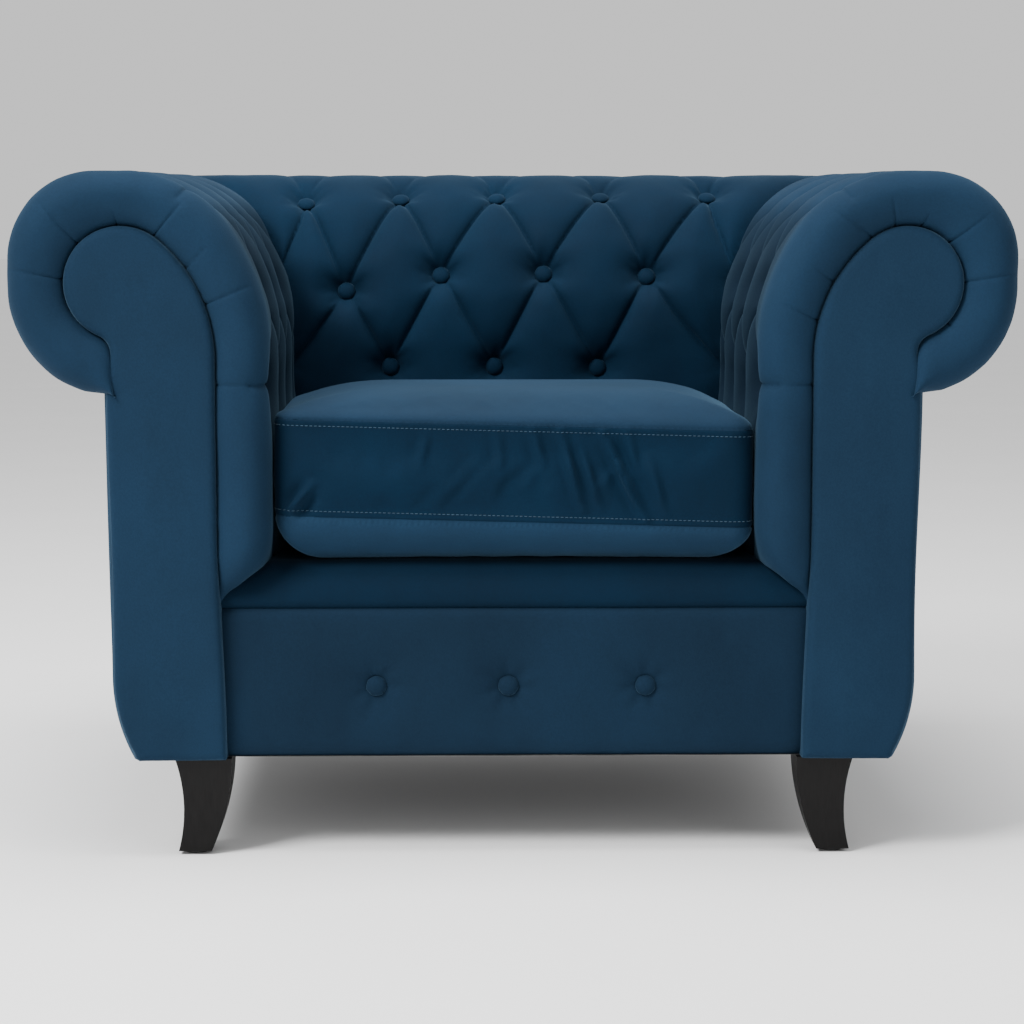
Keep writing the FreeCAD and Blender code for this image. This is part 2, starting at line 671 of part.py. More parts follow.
def legs():
    bolts, nuts, glides = [], [], []
    up = Vector(0, 0, 1)
    for end, y, shift in zip(("front", "rear"), LEG_Y, (-LEG_AHEAD, 0.0)):
        right = leg(shift)
        right.translate(Vector(0, y, 0))
        yield f"leg_{end}_right", [right]
        yield f"leg_{end}_left", [mirrored(right)]
        for x, foot_x in ((LEG_X, glide_x()), (-LEG_X, -glide_x())):
            bolts.append(rod(Vector(x, y, BOLT_LOW), up, PLATE_TOP - 0.5 - BOLT_LOW, BOLT_R))
            flange = rod(Vector(x, y, PLATE_TOP - NUT_FLANGE), up, NUT_FLANGE, NUT_FLANGE_R)
            barrel = rod(Vector(x, y, FRAME_Z + 3), up, PLY - 3 - NUT_FLANGE, NUT_R)
            nuts.append(barrel.fuse(flange).cut(rod(Vector(x, y, 0), up, 200, BOLT_R + 0.1)))
            disc = rod(Vector(foot_x, y + shift, 0), up, GLIDE_H, GLIDE_R)
            pin = rod(Vector(foot_x, y + shift, GLIDE_H), up, GLIDE_PIN_L, GLIDE_PIN_R)
            glides.append(disc.fuse(pin))
    yield "leg_bolts", bolts
    yield "leg_nuts", nuts
    yield "foot_glides", glides


def dust_cover():
    """The cloth under the frame, with a hole at each leg bolt."""
    half_x = belly(0.0, LEG_HEIGHT) - 2.0
    rear_y = belly(0.0, LEG_HEIGHT) - MITRE_SHIFT - 2.0
    cloth = box((-half_x, half_x), (FRAME_Y - APRON_FOAM + 1.0, rear_y), (LEG_HEIGHT, LEG_HEIGHT + 1.5))
    for x in (-LEG_X, LEG_X):
        for y in LEG_Y:
            cloth = cloth.cut(rod(Vector(x, y, 0), Vector(0, 0, 1), 200, BOLT_R + 1))
    yield "dust_cover", [cloth]


# ---------------------------------------------------------------- seat cushion
def cushion_block(inset):
    """The cushion as a box with its long edges well rounded, shrunk all round by inset."""
    x = (-CUSHION_X + inset, CUSHION_X - inset)
    y = (CUSHION_FRONT_Y + inset, CUSHION_REAR_Y - inset)
    z = (CUSHION_Z0 + inset, CUSHION_Z1 - inset)
    block = box(x, y, z)
    return block.makeFillet(CUSHION_EDGE_R - inset, block.Edges)


def cushion():
    whole = cushion_block(0.0)
    room = cushion_block(CLOTH)
    yield "cushion_foam", [cushion_block(CLOTH + SLIP)]
    yield "cushion_cover", [whole.cut(room)]
    y = CUSHION_REAR_Y
    tape = box((-ZIP_HALF, ZIP_HALF), (y, y + 1.0), (ZIP_Z - 14.0, ZIP_Z + 14.0))
    coil = box((-ZIP_HALF + 4.0, ZIP_HALF - 4.0), (y + 1.0, y + 2.4), (ZIP_Z - 2.6, ZIP_Z + 2.6))
    yield "cushion_zip", [tape.fuse(coil)]


def zip_slider():
    """The zip's slider and its pull, parked at the closed end."""
    x, y = ZIP_HALF - 14.0, CUSHION_REAR_Y + 1.0
    body = box((x - 7.0, x + 7.0), (y + 0.2, y + 3.4), (ZIP_Z - 5.5, ZIP_Z + 5.5))
    channel = box((x - 8.0, x + 8.0), (y, y + 1.7), (ZIP_Z - 3.0, ZIP_Z + 3.0))
    saddle = box((x - 2.0, x + 2.0), (y + 3.4, y + 4.6), (ZIP_Z - 4.0, ZIP_Z + 4.0))
    pull = box((x - 3.5, x + 3.5), (y + 3.4, y + 4.6), (ZIP_Z - 30.0, ZIP_Z - 4.0))
    eye = rod(Vector(x, y, ZIP_Z - 24.0), Vector(0, 1, 0), 8, 1.8)
    shape = body.cut(channel).fuse([saddle, pull.cut(eye)])
    yield "zip_slider", [shape.removeSplitter()]


FAMILIES = (
    frame, upholstery, webbing, facings, outside_covers, apron,
    deck, springs, legs, dust_cover, cushion, zip_slider,
)


def main():
    os.makedirs("parts", exist_ok=True)
    for family in FAMILIES:
        for name, solids in family():
            pieces = [s for piece in solids for s in piece.Solids]
            shape = pieces[0] if len(pieces) == 1 else Part.makeCompound(pieces)
            bad = [p for p in pieces if not p.isValid()]
            print(f"{name}: {len(pieces)} solids, {shape.Volume / 1e6:.4f} l" + (" INVALID" if bad else ""))
            shape.exportStep(f"parts/{name}.step")


main()
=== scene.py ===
import json
import math

import bmesh
import bpy
import numpy as np
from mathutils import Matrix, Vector, noise
from mathutils.bvhtree import BVHTree
from mathutils.geometry import delaunay_2d_cdt
from mathutils.kdtree import KDTree


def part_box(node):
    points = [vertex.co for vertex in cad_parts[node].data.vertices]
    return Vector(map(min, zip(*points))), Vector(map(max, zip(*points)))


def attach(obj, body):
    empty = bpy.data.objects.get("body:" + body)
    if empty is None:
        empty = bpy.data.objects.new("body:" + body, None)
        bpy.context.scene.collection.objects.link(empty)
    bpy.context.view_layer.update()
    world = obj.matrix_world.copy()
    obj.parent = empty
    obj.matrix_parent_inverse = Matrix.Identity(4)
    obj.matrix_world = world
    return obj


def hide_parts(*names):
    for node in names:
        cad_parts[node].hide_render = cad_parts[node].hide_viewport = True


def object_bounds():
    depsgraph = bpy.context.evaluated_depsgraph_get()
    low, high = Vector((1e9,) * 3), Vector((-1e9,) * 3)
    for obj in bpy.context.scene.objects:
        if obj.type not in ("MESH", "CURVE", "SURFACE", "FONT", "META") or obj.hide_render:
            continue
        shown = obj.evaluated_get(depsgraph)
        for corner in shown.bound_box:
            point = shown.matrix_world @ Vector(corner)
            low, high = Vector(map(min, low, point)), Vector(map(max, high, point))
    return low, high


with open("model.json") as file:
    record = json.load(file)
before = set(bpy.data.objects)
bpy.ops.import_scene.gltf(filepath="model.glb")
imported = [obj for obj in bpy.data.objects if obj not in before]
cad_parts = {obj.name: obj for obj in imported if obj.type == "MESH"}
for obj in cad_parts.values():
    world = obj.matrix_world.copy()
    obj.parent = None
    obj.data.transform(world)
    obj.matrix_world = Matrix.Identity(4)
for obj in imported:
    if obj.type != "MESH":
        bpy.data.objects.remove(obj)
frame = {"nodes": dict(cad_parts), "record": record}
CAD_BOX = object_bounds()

# Everything is in metres, in the frame's own axes. u is the distance from the chair's middle plane on an
# arm, and runs backwards along Y on the back, shifted by MITRE_SHIFT. t is a length along the padded
# outline, counted up from the deck, over the roll and round to where it is tacked underneath.

ARM_LOW, ARM_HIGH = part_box("arm_cover_right")
SCROLL_LOW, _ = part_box("arm_front_scroll_right")
_, DECK_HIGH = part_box("deck_cover")
APRON_LOW, APRON_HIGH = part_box("apron_cover")
BASE_Z = APRON_LOW.z
DECK_Z = DECK_HIGH.z
SEAM_Z = APRON_HIGH.z
APRON_Y = APRON_LOW.y
LIP_Y = APRON_Y + 0.050
LIP_DEPTH, LIP_HEIGHT = LIP_Y - APRON_Y, DECK_Z - SEAM_Z
LIP_R = (LIP_DEPTH**2 + LIP_HEIGHT**2) / (2 * LIP_HEIGHT)

# The scroll's hard outline and the padded outline round it
CORE_INNER = SCROLL_LOW.x - 0.003
CORE_OUTER = 0.452
SHOULDER_R = 0.170
SHOULDER = (CORE_INNER + SHOULDER_R, 0.575)
SHOULDER_END = math.radians(128.6)
HEAD_R = 0.063
HEAD = (SHOULDER[0] + 0.107 * math.cos(SHOULDER_END), SHOULDER[1] + 0.107 * math.sin(SHOULDER_END))
NECK_R = 0.028
NECK_X = CORE_OUTER + NECK_R
NECK = (NECK_X, HEAD[1] - math.sqrt((HEAD_R + NECK_R) ** 2 - (NECK_X - HEAD[0]) ** 2))
HEAD_END = math.atan2(NECK[1] - HEAD[1], NECK[0] - HEAD[0])
BELLY_R = 0.190
BELLY = (CORE_OUTER - BELLY_R, 0.210)

PAD_INNER, PAD_OUTER = ARM_LOW.x, ARM_HIGH.x
FRONT_Y, REAR_Y = ARM_LOW.y, ARM_HIGH.y
PAD_TOP = ARM_HIGH.z
MITRE_SHIFT = PAD_OUTER - REAR_Y
PAD_R1 = 0.260
PAD_C1 = (PAD_INNER + PAD_R1, SHOULDER[1])
PAD_A1 = math.radians(145.0)
PAD_R2 = 0.143
PAD_C2 = (PAD_C1[0] + 0.117 * math.cos(PAD_A1), PAD_TOP - PAD_R2)
PAD_R3 = 0.100
PAD_C3 = (PAD_OUTER - PAD_R3, PAD_TOP - PAD_R3)
PAD_R4 = 0.1226
PAD_C4 = (PAD_OUTER - PAD_R4, 0.652)
PAD_A4 = math.radians(-72.0)
TACK = (CORE_OUTER - 0.004, 0.531)

# The front of the roll: it turns in over CAP_DEPTH and dives into the seam beside the facing
CAP_Y = FRONT_Y + 0.040
CAP_CREST = 0.54
SEAM_Y = FRONT_Y + 0.0255
FACING_Y = -0.418
FACING_SKIRT = -0.3920


# ---------------------------------------------------------------- small helpers
def smooth(x, low, high):
    s = np.clip((x - low) / (high - low), 0.0, 1.0)
    return s * s * (3 - 2 * s)


def wobble(points, size, seed):
    """Smooth noise from about -1 to 1 at each point, flat or not, with features of about that size."""
    shift = Vector((seed * 7.31, seed * 3.17, seed * 5.73))
    return np.array([noise.noise(Vector(p).to_3d() / size + shift) for p in points])


def new_piece(name, points, faces, material, body="root", slot="velvet", replaces=()):
    mesh = bpy.data.meshes.new(name)
    mesh.from_pydata([tuple(p) for p in points], [], [tuple(f) for f in faces])
    mesh.validate()
    mesh.polygons.foreach_set("use_smooth", [True] * len(mesh.polygons))
    mesh.materials.append(material)
    obj = bpy.data.objects.new(name, mesh)
    bpy.context.scene.collection.objects.link(obj)
    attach(obj, body)
    if replaces:
        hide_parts(*replaces)
    return obj


def grid_faces(rows, columns, flip=False):
    """The quads between the points of a grid, row by row."""
    a = (np.arange(rows - 1)[:, None] * columns + np.arange(columns - 1)).ravel()
    quads = np.stack([a, a + 1, a + columns + 1, a + columns], axis=1)
    return quads[:, ::-1] if flip else quads


def facing_normals(points, triangles):
    """The unit normal at each point, from the triangles round it."""
    a, b, c = (points[triangles[:, i]] for i in range(3))
    n = np.cross(b - a, c - a)
    total = np.zeros_like(points)
    for i in range(3):
        np.add.at(total, triangles[:, i], n)
    return total / np.maximum(np.linalg.norm(total, axis=1, keepdims=True), 1e-12)


# ---------------------------------------------------------------- outlines
class Outline:
    """A chain of lines and arcs in the (u, z) plane, looked up by the length along it."""

    def __init__(self, runs, step=0.0005):
        places, outwards = [], []
        for kind, *values in runs:
            if kind == "line":
                p, q, way = (np.array(v) for v in values)
                n = max(2, int(np.linalg.norm(q - p) / step))
                s = np.linspace(0, 1, n)[:, None]
                places.append(p + (q - p) * s)
                outwards.append(np.repeat(way[None, :], n, axis=0))
            else:
                centre, radius, start, end, side = values
                n = max(2, int(abs(end - start) * radius / step))
                a = np.linspace(start, end, n)
                ring = np.stack([np.cos(a), np.sin(a)], axis=1)
                places.append(np.array(centre) + radius * ring)
                outwards.append(side * ring)
        self.places, self.outwards = np.concatenate(places), np.concatenate(outwards)
        gaps = np.linalg.norm(np.diff(self.places, axis=0), axis=1)
        self.s = np.concatenate([[0], np.cumsum(gaps)]) + np.arange(len(self.places)) * 1e-9
        self.length = self.s[-1]

    def at(self, t):
        """Places at lengths t. Below 0 the outline goes straight down."""
        u, z = (np.interp(t, self.s, self.places[:, i]) for i in range(2))
        return u, z + np.minimum(t, 0.0)

    def outward(self, t):
        return np.stack([np.interp(t, self.s, self.outwards[:, i]) for i in range(2)], axis=-1)

    def length_at(self, place):
        return self.s[np.argmin(np.linalg.norm(self.places - np.array(place), axis=1))]


TAIL = (PAD_C4[0] + PAD_R4 * math.cos(PAD_A4), PAD_C4[1] + PAD_R4 * math.sin(PAD_A4))
PAD = Outline([
    ("line", (PAD_INNER, DECK_Z), (PAD_INNER, SHOULDER[1]), (-1, 0)),
    ("arc", PAD_C1, PAD_R1, math.pi, PAD_A1, 1),
    ("arc", PAD_C2, PAD_R2, PAD_A1, math.pi / 2, 1),
    ("line", (PAD_C2[0], PAD_TOP), (PAD_C3[0], PAD_TOP), (0, 1)),
    ("arc", PAD_C3, PAD_R3, math.pi / 2, 0, 1),
    ("line", (PAD_OUTER, PAD_C3[1]), (PAD_OUTER, PAD_C4[1]), (1, 0)),
    ("arc", PAD_C4, PAD_R4, 0, PAD_A4, 1),
    ("line", TAIL, TACK, (0, -1)),
])


def core_runs(bottom, outer_end):
    """The scroll's outline from its inner bottom corner over the head and down the outside."""
    return [
        ("line", (CORE_INNER, bottom), (CORE_INNER, SHOULDER[1]), (-1, 0)),
        ("arc", SHOULDER, SHOULDER_R, math.pi, SHOULDER_END, 1),
        ("arc", HEAD, HEAD_R, SHOULDER_END, HEAD_END, 1),
        ("arc", NECK, NECK_R, HEAD_END + math.pi, math.pi, -1),
        ("line", (CORE_OUTER, NECK[1]), (CORE_OUTER, outer_end), (1, 0)),
    ]


CORE = Outline(core_runs(DECK_Z, TACK[1]))
T_END = PAD.length


def on_ring(centre, radius, angle):
    return np.array(centre) + radius * np.array([math.cos(angle), math.sin(angle)])


def stations():
    """Matching lengths along the padded outline and along the core, where both face the same way."""
    pairs = [((PAD_INNER, SHOULDER[1]), (CORE_INNER, SHOULDER[1]))]
    for angle, centre, radius in ((PAD_A1, PAD_C1, PAD_R1), (SHOULDER_END, PAD_C2, PAD_R2)):
        pairs.append((on_ring(centre, radius, angle), on_ring(SHOULDER, SHOULDER_R, angle)))
    pairs.append((((PAD_C2[0] + PAD_C3[0]) / 2, PAD_TOP), (HEAD[0], HEAD[1] + HEAD_R)))
    pairs.append(((PAD_OUTER, (PAD_C3[1] + PAD_C4[1]) / 2), (HEAD[0] + HEAD_R, HEAD[1])))
    pairs.append((on_ring(PAD_C4, PAD_R4, HEAD_END), on_ring(HEAD, HEAD_R, HEAD_END)))
    found = [(PAD.length_at(p), CORE.length_at(q)) for p, q in pairs]
    return np.array([(0.0, 0.0), *found, (PAD.length, CORE.length)])


STATIONS = stations()


# ---------------------------------------------------------------- the roll's front end
def cap_curve(samples=160):
    """(share of the thickness, y) along the roll's front end, by length, from the side to the seam."""
    thick = 0.062
    a = np.linspace(0, math.pi / 2, samples)
    outer = np.stack([CAP_CREST + (1 - CAP_CREST) * np.cos(a), CAP_Y - (CAP_Y - FRONT_Y) * np.sin(a)], axis=1)
    inner = np.stack([CAP_CREST * (1 - np.sin(a)), SEAM_Y - (SEAM_Y - FRONT_Y) * np.cos(a)], axis=1)
    curve = np.concatenate([outer, inner[1:], [(-0.014, SEAM_Y + 0.004)]])
    steps = np.linalg.norm(np.diff(curve * [thick, 1], axis=0), axis=1)
    return np.concatenate([[0], np.cumsum(steps)]), curve


CAP_S, CAP_CURVE = cap_curve()
CAP_LENGTH = CAP_S[-1]
CAP_END = CAP_Y - CAP_LENGTH


def along_arm(v):
    """(share of the thickness, y) at v: y itself, and past CAP_Y the length round the roll's end."""
    c = np.clip(CAP_Y - v, 0, CAP_LENGTH)
    share = np.interp(c, CAP_S, CAP_CURVE[:, 0])
    return share, np.where(v >= CAP_Y, v, np.interp(c, CAP_S, CAP_CURVE[:, 1]))


def lip_z(y):
    """The height of the deck's rounded front edge at y."""
    back = np.clip(LIP_Y - y, 0, min(LIP_DEPTH, LIP_R * 0.999))
    return DECK_Z - LIP_R + np.sqrt(LIP_R**2 - back**2)


TOE_START = LIP_Y + 0.004
TOE_Y = ((0.0, 0.30, 0.66, 1.0), (TOE_START, APRON_Y + 0.028, APRON_Y + 0.008, APRON_Y - 0.001))
TOE_RISE = 0.055


def toe(v):
    """(share of the thickness, y, t) of the padding's lower end, which lies on the deck's lip."""
    w = np.clip((TOE_START - v) / (TOE_START - CAP_END), 0, 1)
    y = np.interp(w, *TOE_Y)
    return 1 - w, y, lip_z(y) - DECK_Z - 0.003 * np.minimum(w * 8, 1)


def arm_surface(t, v):
    pu, pz = PAD.at(t)
    core_t = np.where(t < 0, t, np.interp(t, STATIONS[:, 0], STATIONS[:, 1]))
    qu, qz = CORE.at(core_t)
    share, y = along_arm(v)
    low_share, low_y, low_t = toe(v)
    rise = np.clip((t - low_t) / TOE_RISE, 0, 1)
    full = np.where(v < TOE_START, np.sqrt(1 - (1 - rise) ** 2), 1.0)
    share = low_share + (share - low_share) * full
    y = low_y + (y - low_y) * full
    return np.stack([qu + (pu - qu) * share, y, qz + (pz - qz) * share], axis=1)


def back_surface(t, x):
    u, z = PAD.at(t)
    return np.stack([x, u - MITRE_SHIFT, z], axis=1)


# ---------------------------------------------------------------- pleated sheets
def islands(node, reach=0.040):
    """The middle of each separate solid of a CAD node, from its points."""
    groups = []
    for p in (v.co.copy() for v in frame["nodes"][node].data.vertices):
        for g in groups:
            if (g[0] - p).length < reach:
                g.append(p)
                break
        else:
            groups.append([p])
    return [Vector((np.min(g, axis=0) + np.max(g, axis=0)) / 2) for g in groups]


def to_segments(p, ends):
    """Distances from points to segments, and how far along each segment the nearest place is."""
    a, b = ends[:, 0], ends[:, 1]
    d = b - a
    length2 = np.maximum((d**2).sum(1), 1e-12)
    s = np.clip(((p[:, None, :] - a[None]) * d[None]).sum(2) / length2[None], 0, 1)
    nearest = a[None] + s[..., None] * d[None]
    return np.linalg.norm(p[:, None, :] - nearest, axis=2), s


def in_chunks(function, p, *arguments, size=20000):
    parts = [function(p[i : i + size], *arguments) for i in range(0, len(p), size)]
    return np.concatenate(parts)


def hex_grid(low, high, step, seed):
    rng = np.random.default_rng(seed)
    xs = np.arange(low[0], high[0], step)
    ys = np.arange(low[1], high[1], step * 0.866)
    x, y = np.meshgrid(xs, ys)
    x = x + (np.arange(len(ys)) % 2)[:, None] * step / 2
    p = np.stack([x.ravel(), y.ravel()], axis=1)
    return p + rng.uniform(-0.12, 0.12, p.shape) * step


def along(points, step, closed=False):
    """Places at about that step along a chain of points."""
    points = np.array(points, float)
    if closed:
        points = np.concatenate([points, points[:1]])
    out = []
    for a, b in zip(points[:-1], points[1:]):
        n = max(1, int(round(np.linalg.norm(b - a) / step)))
        out.append(a + (b - a) * np.linspace(0, 1, n, endpoint=False)[:, None])
    if not closed:
        out.append(points[-1:])
    return np.concatenate(out)


def loop_distance(p, loop):
    """The distance from each point to a closed loop."""
    marks = along(loop, 0.0008, closed=True)
    tree = KDTree(len(marks))
    for i, mark in enumerate(marks):
        tree.insert((mark[0], mark[1], 0.0), i)
    tree.balance()
    return np.array([tree.find((q[0], q[1], 0.0))[2] for q in p])


def within(p, loop):
    """Which points lie inside a closed loop."""
    a, b = loop, np.roll(loop, -1, axis=0)
    spans = (a[None, :, 1] > p[:, None, 1]) != (b[None, :, 1] > p[:, None, 1])
    rise = np.where(np.abs(b[:, 1] - a[:, 1]) < 1e-12, 1e-12, b[:, 1] - a[:, 1])
    cross = a[None, :, 0] + (p[:, None, 1] - a[None, :, 1]) * ((b[:, 0] - a[:, 0]) / rise)[None]
    return (spans & (p[:, None, 0] < cross)).sum(1) % 2 == 1


def triangulate(border, lines, fine, seed, steps=(0.0075, 0.0042, 0.0022), bands=(0.013, 0.0045), hem=False):
    """Points and triangles that fill a border, close together beside the lines (and round the fine places).

    With hem the mesh is close together along the border as well.
    """
    segments = np.array([[p, q] for line in lines for p, q in zip(line[:-1], line[1:])]).reshape(-1, 2, 2)
    if len(fine):
        segments = np.concatenate([segments, np.array([[p, p] for p in fine])])
    low, high = border.min(0), border.max(0)
    loop = along(border, 0.0032 if hem else 0.004, closed=True)
    n = len(loop)
    stack, count = [loop], n
    edges = [(i, (i + 1) % n) for i in range(n)]
    for line in lines:
        p = along(line, 0.0026)
        edges += [(count + i, count + i + 1) for i in range(len(p) - 1)]
        stack.append(p)
        count += len(p)
    for level, step in enumerate(steps):
        p = hex_grid(low, high, step, seed + level)
        inner = bands[level] if level < len(bands) else 0.0012
        outer = bands[level - 1] if level else 9.0
        e = np.full(len(p), 1.0)
        if len(segments):
            e = in_chunks(lambda q: to_segments(q, segments)[0].min(1), p)
        if not hem:
            p, e = p[e < outer], e[e < outer]
        gap = loop_distance(p, loop)
        if hem:
            e = np.minimum(e, gap)
        p = p[(e >= inner) & (e < outer) & (gap > 0.0016)]
        stack.append(p[in_chunks(within, p, loop, size=8000)])
    points = np.concatenate(stack)
    out = delaunay_2d_cdt([Vector(p) for p in points], edges, [], 1, 1e-7, False)
    points, triangles = np.array([tuple(v) for v in out[0]]), np.array(out[2])
    return points, triangles[in_chunks(within, points[triangles].mean(1), loop, size=8000)]


def pleat_net(rows, reach=0.105):
    """Pleats that join each button (t, v) to those on its left and right in the next row."""
    pleats = []
    for row1, row2 in zip(rows[:-1], rows[1:]):
        for a in row1:
            for side in (-1, 1):
                near = [b for b in row2 if 0 < (b[1] - a[1]) * side < reach]
                if near:
                    pleats.append((a, min(near, key=lambda q: abs(q[1] - a[1]))))
    return pleats


def tuft_depth(p, pleats, buttons, seed):
    """How far the padding is drawn in at each place (t, v) by its pleats and buttons.

    A pleat is (start, end, depth, width, slack): it is shallower midway by its slack, and the cloth
    above it folds over the cloth below it.
    """
    ends = np.array([(a, b) for a, b, *_ in pleats])
    broad, width, slack = (np.array([row[i] for row in pleats]) for i in (2, 3, 4))
    e, s = to_segments(p, ends)
    q = np.clip(e / width, 0, 1)
    held = 1 - slack * np.sin(math.pi * s) ** 0.8
    dip = broad * held * (0.60 * (1 - q) ** 2 + 0.40 * np.exp(-e / 0.0042))
    total = (dip**3).sum(1) ** (1 / 3)
    nearest = e.argmin(1)
    rows = np.arange(len(p))
    line_t = ends[nearest, 0, 0] + s[rows, nearest] * (ends[nearest, 1, 0] - ends[nearest, 0, 0])
    slant = np.abs(ends[nearest, 1, 1] - ends[nearest, 0, 1]) > 0.02
    over = np.tanh((p[:, 0] - line_t) / 0.0009) * np.exp(-e[rows, nearest] / 0.009)
    total = total - 0.0014 * over * slant * held[rows, nearest] * np.sin(math.pi * s[rows, nearest])
    for t, v, depth in buttons:
        r = np.hypot(p[:, 0] - t, p[:, 1] - v)
        angle = np.arctan2(p[:, 1] - v, p[:, 0] - t)
        funnel = depth * np.exp(-((np.maximum(r - 0.010, 0) / 0.021) ** 1.15))
        rays = 0.0012 * np.exp(-(((r - 0.021) / 0.010) ** 2)) * np.cos(9 * angle + seed + 40 * v)
        total = (np.maximum(total, 0) ** 3 + funnel**3) ** (1 / 3) + rays
        flat = 1 - smooth(r, 0.009, 0.016)
        total = total * (1 - flat) + (depth + 0.0006) * flat
    return total


def crease_depth(p, creases):
    """How deep the narrow creases are at each place, deepest at their start."""
    total = np.zeros(len(p))
    for a, b, depth, width in creases:
        e, s = to_segments(p, np.array([[a, b]]))
        across = 0.7 * np.exp(-e[:, 0] / width) + 0.3 * np.exp(-e[:, 0] / 0.014)
        total += depth * across * (1 - s[:, 0] ** 3)
    return total


# ---------------------------------------------------------------- materials
def nodes_of(name):
    material = bpy.data.materials.new(name)
    material.use_nodes = True
    tree = material.node_tree
    return material, tree, tree.nodes["Principled BSDF"]


def put(node, **values):
    """Sets a node's inputs, or links those given as another node's output; _ stands for a space."""
    for name, value in values.items():
        socket = node.inputs[name.replace("_", " ")]
        if isinstance(value, bpy.types.NodeSocket):
            node.id_data.links.new(value, socket)
        else:
            socket.default_value = value


def add(tree, kind, output, **values):
    node = tree.nodes.new("ShaderNode" + kind)
    put(node, **values)
    return node.outputs[output]


def noise_node(tree, scale, detail=3.0, roughness=0.55, stretch=None):
    source = add(tree, "TexCoord", "Object")
    if stretch:
        source = add(tree, "Mapping", "Vector", Vector=source, Scale=stretch)
    return add(tree, "TexNoise", "Fac", Vector=source, Scale=scale, Detail=detail, Roughness=roughness)


def ramp(tree, source, *stops):
    node = tree.nodes.new("ShaderNodeValToRGB")
    elements = node.color_ramp.elements
    while len(elements) < len(stops):
        elements.new(0.5)
    for element, (place, colour) in zip(elements, stops):
        element.position = place
        element.color = (*colour, 1.0)
    put(node, Fac=source)
    return node.outputs["Color"]


def mix_colours(tree, factor, a, b, kind="MIX"):
    node = tree.nodes.new("ShaderNodeMix")
    node.data_type = "RGBA"
    node.blend_type = kind
    put(node, Factor=factor, A=a, B=b)
    return node.outputs["Result"]


def bump(tree, shader, *layers):
    """Adds bump layers, each (height socket, strength, distance)."""
    below = {}
    for height, strength, distance in layers:
        below = {"Normal": add(tree, "Bump", "Normal", Height=height, Strength=strength,
                               Distance=distance, **below)}
    put(shader, **below)


def to_range(tree, source, low, high):
    return add(tree, "MapRange", "Result", Value=source, To_Min=low, To_Max=high)


# Base tones of the one velvet. The second, with less red, is painted shade for the panels that sit in shade.
VELVET_TONE = np.array((0.0064, 0.0190, 0.0385))
VELVET_TONE_IN_SHADE = np.array((0.0038, 0.0180, 0.0405))


def velvet(name, tone=VELVET_TONE, shade=1.0, sheen=0.16, painted_shade_attribute=False):
    """Short cut pile: faint brushed patches, a fine pile grain and a soft sheen at grazing angles.

    The tone and shade paint light and shade: darker copies of the one velvet stand in for the shade that
    falls on some panels, and a lighter copy stands in for the light on another. Optionally the mesh's own
    per-point values paint shade onto parts of it.
    """
    material, tree, shader = nodes_of(name)
    brushed = noise_node(tree, 7.0, 4.0, 0.6, stretch=(1.0, 1.0, 0.55))
    pile = noise_node(tree, 1300.0, 2.0, 0.7)
    fleck = noise_node(tree, 420.0, 3.0, 0.65)
    # Painted light and shade: the shade factor makes each copy's colour lighter or darker.
    low, high = (tuple(tone * shade * k) for k in (0.88, 1.14))
    base = ramp(tree, brushed, (0.34, low), (0.70, high))
    grain = ramp(tree, fleck, (0.35, (0.92, 0.92, 0.92)), (0.65, (1.06, 1.06, 1.06)))
    colour = mix_colours(tree, 1.0, base, grain, "MULTIPLY")
    if painted_shade_attribute:
        # Painted shade: the mesh's per-point values darken the base colour.
        painted_shade = tree.nodes.new("ShaderNodeAttribute")
        painted_shade.attribute_name = "painted_shade"
        colour = mix_colours(tree, painted_shade.outputs["Fac"], (0.0, 0.0, 0.0, 1.0), colour)
    put(shader, Base_Color=colour, Roughness=to_range(tree, brushed, 0.74, 0.90), Specular_IOR_Level=0.05,
        Sheen_Weight=sheen, Sheen_Roughness=0.40, Sheen_Tint=(0.30, 0.56, 0.80, 1.0))
    bump(tree, shader, (pile, 0.30, 0.0004), (fleck, 0.20, 0.0005), (brushed, 0.12, 0.003))
    return material


def scaled(colour, k):
    return tuple(min(1.0, c * k) for c in colour)


def cloth(name, colour, scale=900.0, sheen=0.1):
    """A plain woven cloth."""
    material, tree, shader = nodes_of(name)
    patches = ramp(tree, noise_node(tree, 25.0), (0.3, scaled(colour, 0.75)), (0.7, scaled(colour, 1.2)))
    coords = add(tree, "TexCoord", "Object")
    weave = add(tree, "TexWave", "Fac", Vector=coords, Scale=scale, Distortion=1.5)
    put(shader, Base_Color=patches, Roughness=0.92, Sheen_Weight=sheen)
    bump(tree, shader, (weave, 0.3, 0.0005))
    return material


def lacquer():
    """Black stained wood under a satin lacquer, with the grain just showing and faint scuffs."""
    material, tree, shader = nodes_of("black_lacquered_wood")
    grain = noise_node(tree, 60.0, 6.0, 0.6, stretch=(8.0, 8.0, 0.6))
    scuffs = noise_node(tree, 35.0, 4.0, 0.7)
    colour = ramp(tree, grain, (0.35, (0.0022, 0.0020, 0.0020)), (0.7, (0.0050, 0.0045, 0.0044)))
    put(shader, Base_Color=colour, Roughness=to_range(tree, scuffs, 0.34, 0.52), Specular_IOR_Level=0.12,
        Coat_Weight=0.03, Coat_Roughness=0.25)
    bump(tree, shader, (grain, 0.18, 0.0008))
    return material


def plain(name, dark, light, noise_values, rough, relief, stops=(0.3, 0.7), metallic=0.0):
    """A hard surface whose marks vary its colour and roughness and give it a little relief."""
    material, tree, shader = nodes_of(name)
    marks = noise_node(tree, *noise_values)
    colour = ramp(tree, marks, (stops[0], dark), (stops[1], light))
    put(shader, Base_Color=colour, Roughness=to_range(tree, marks, *rough), Metallic=metallic)
    bump(tree, shader, (marks, *relief))
    return material


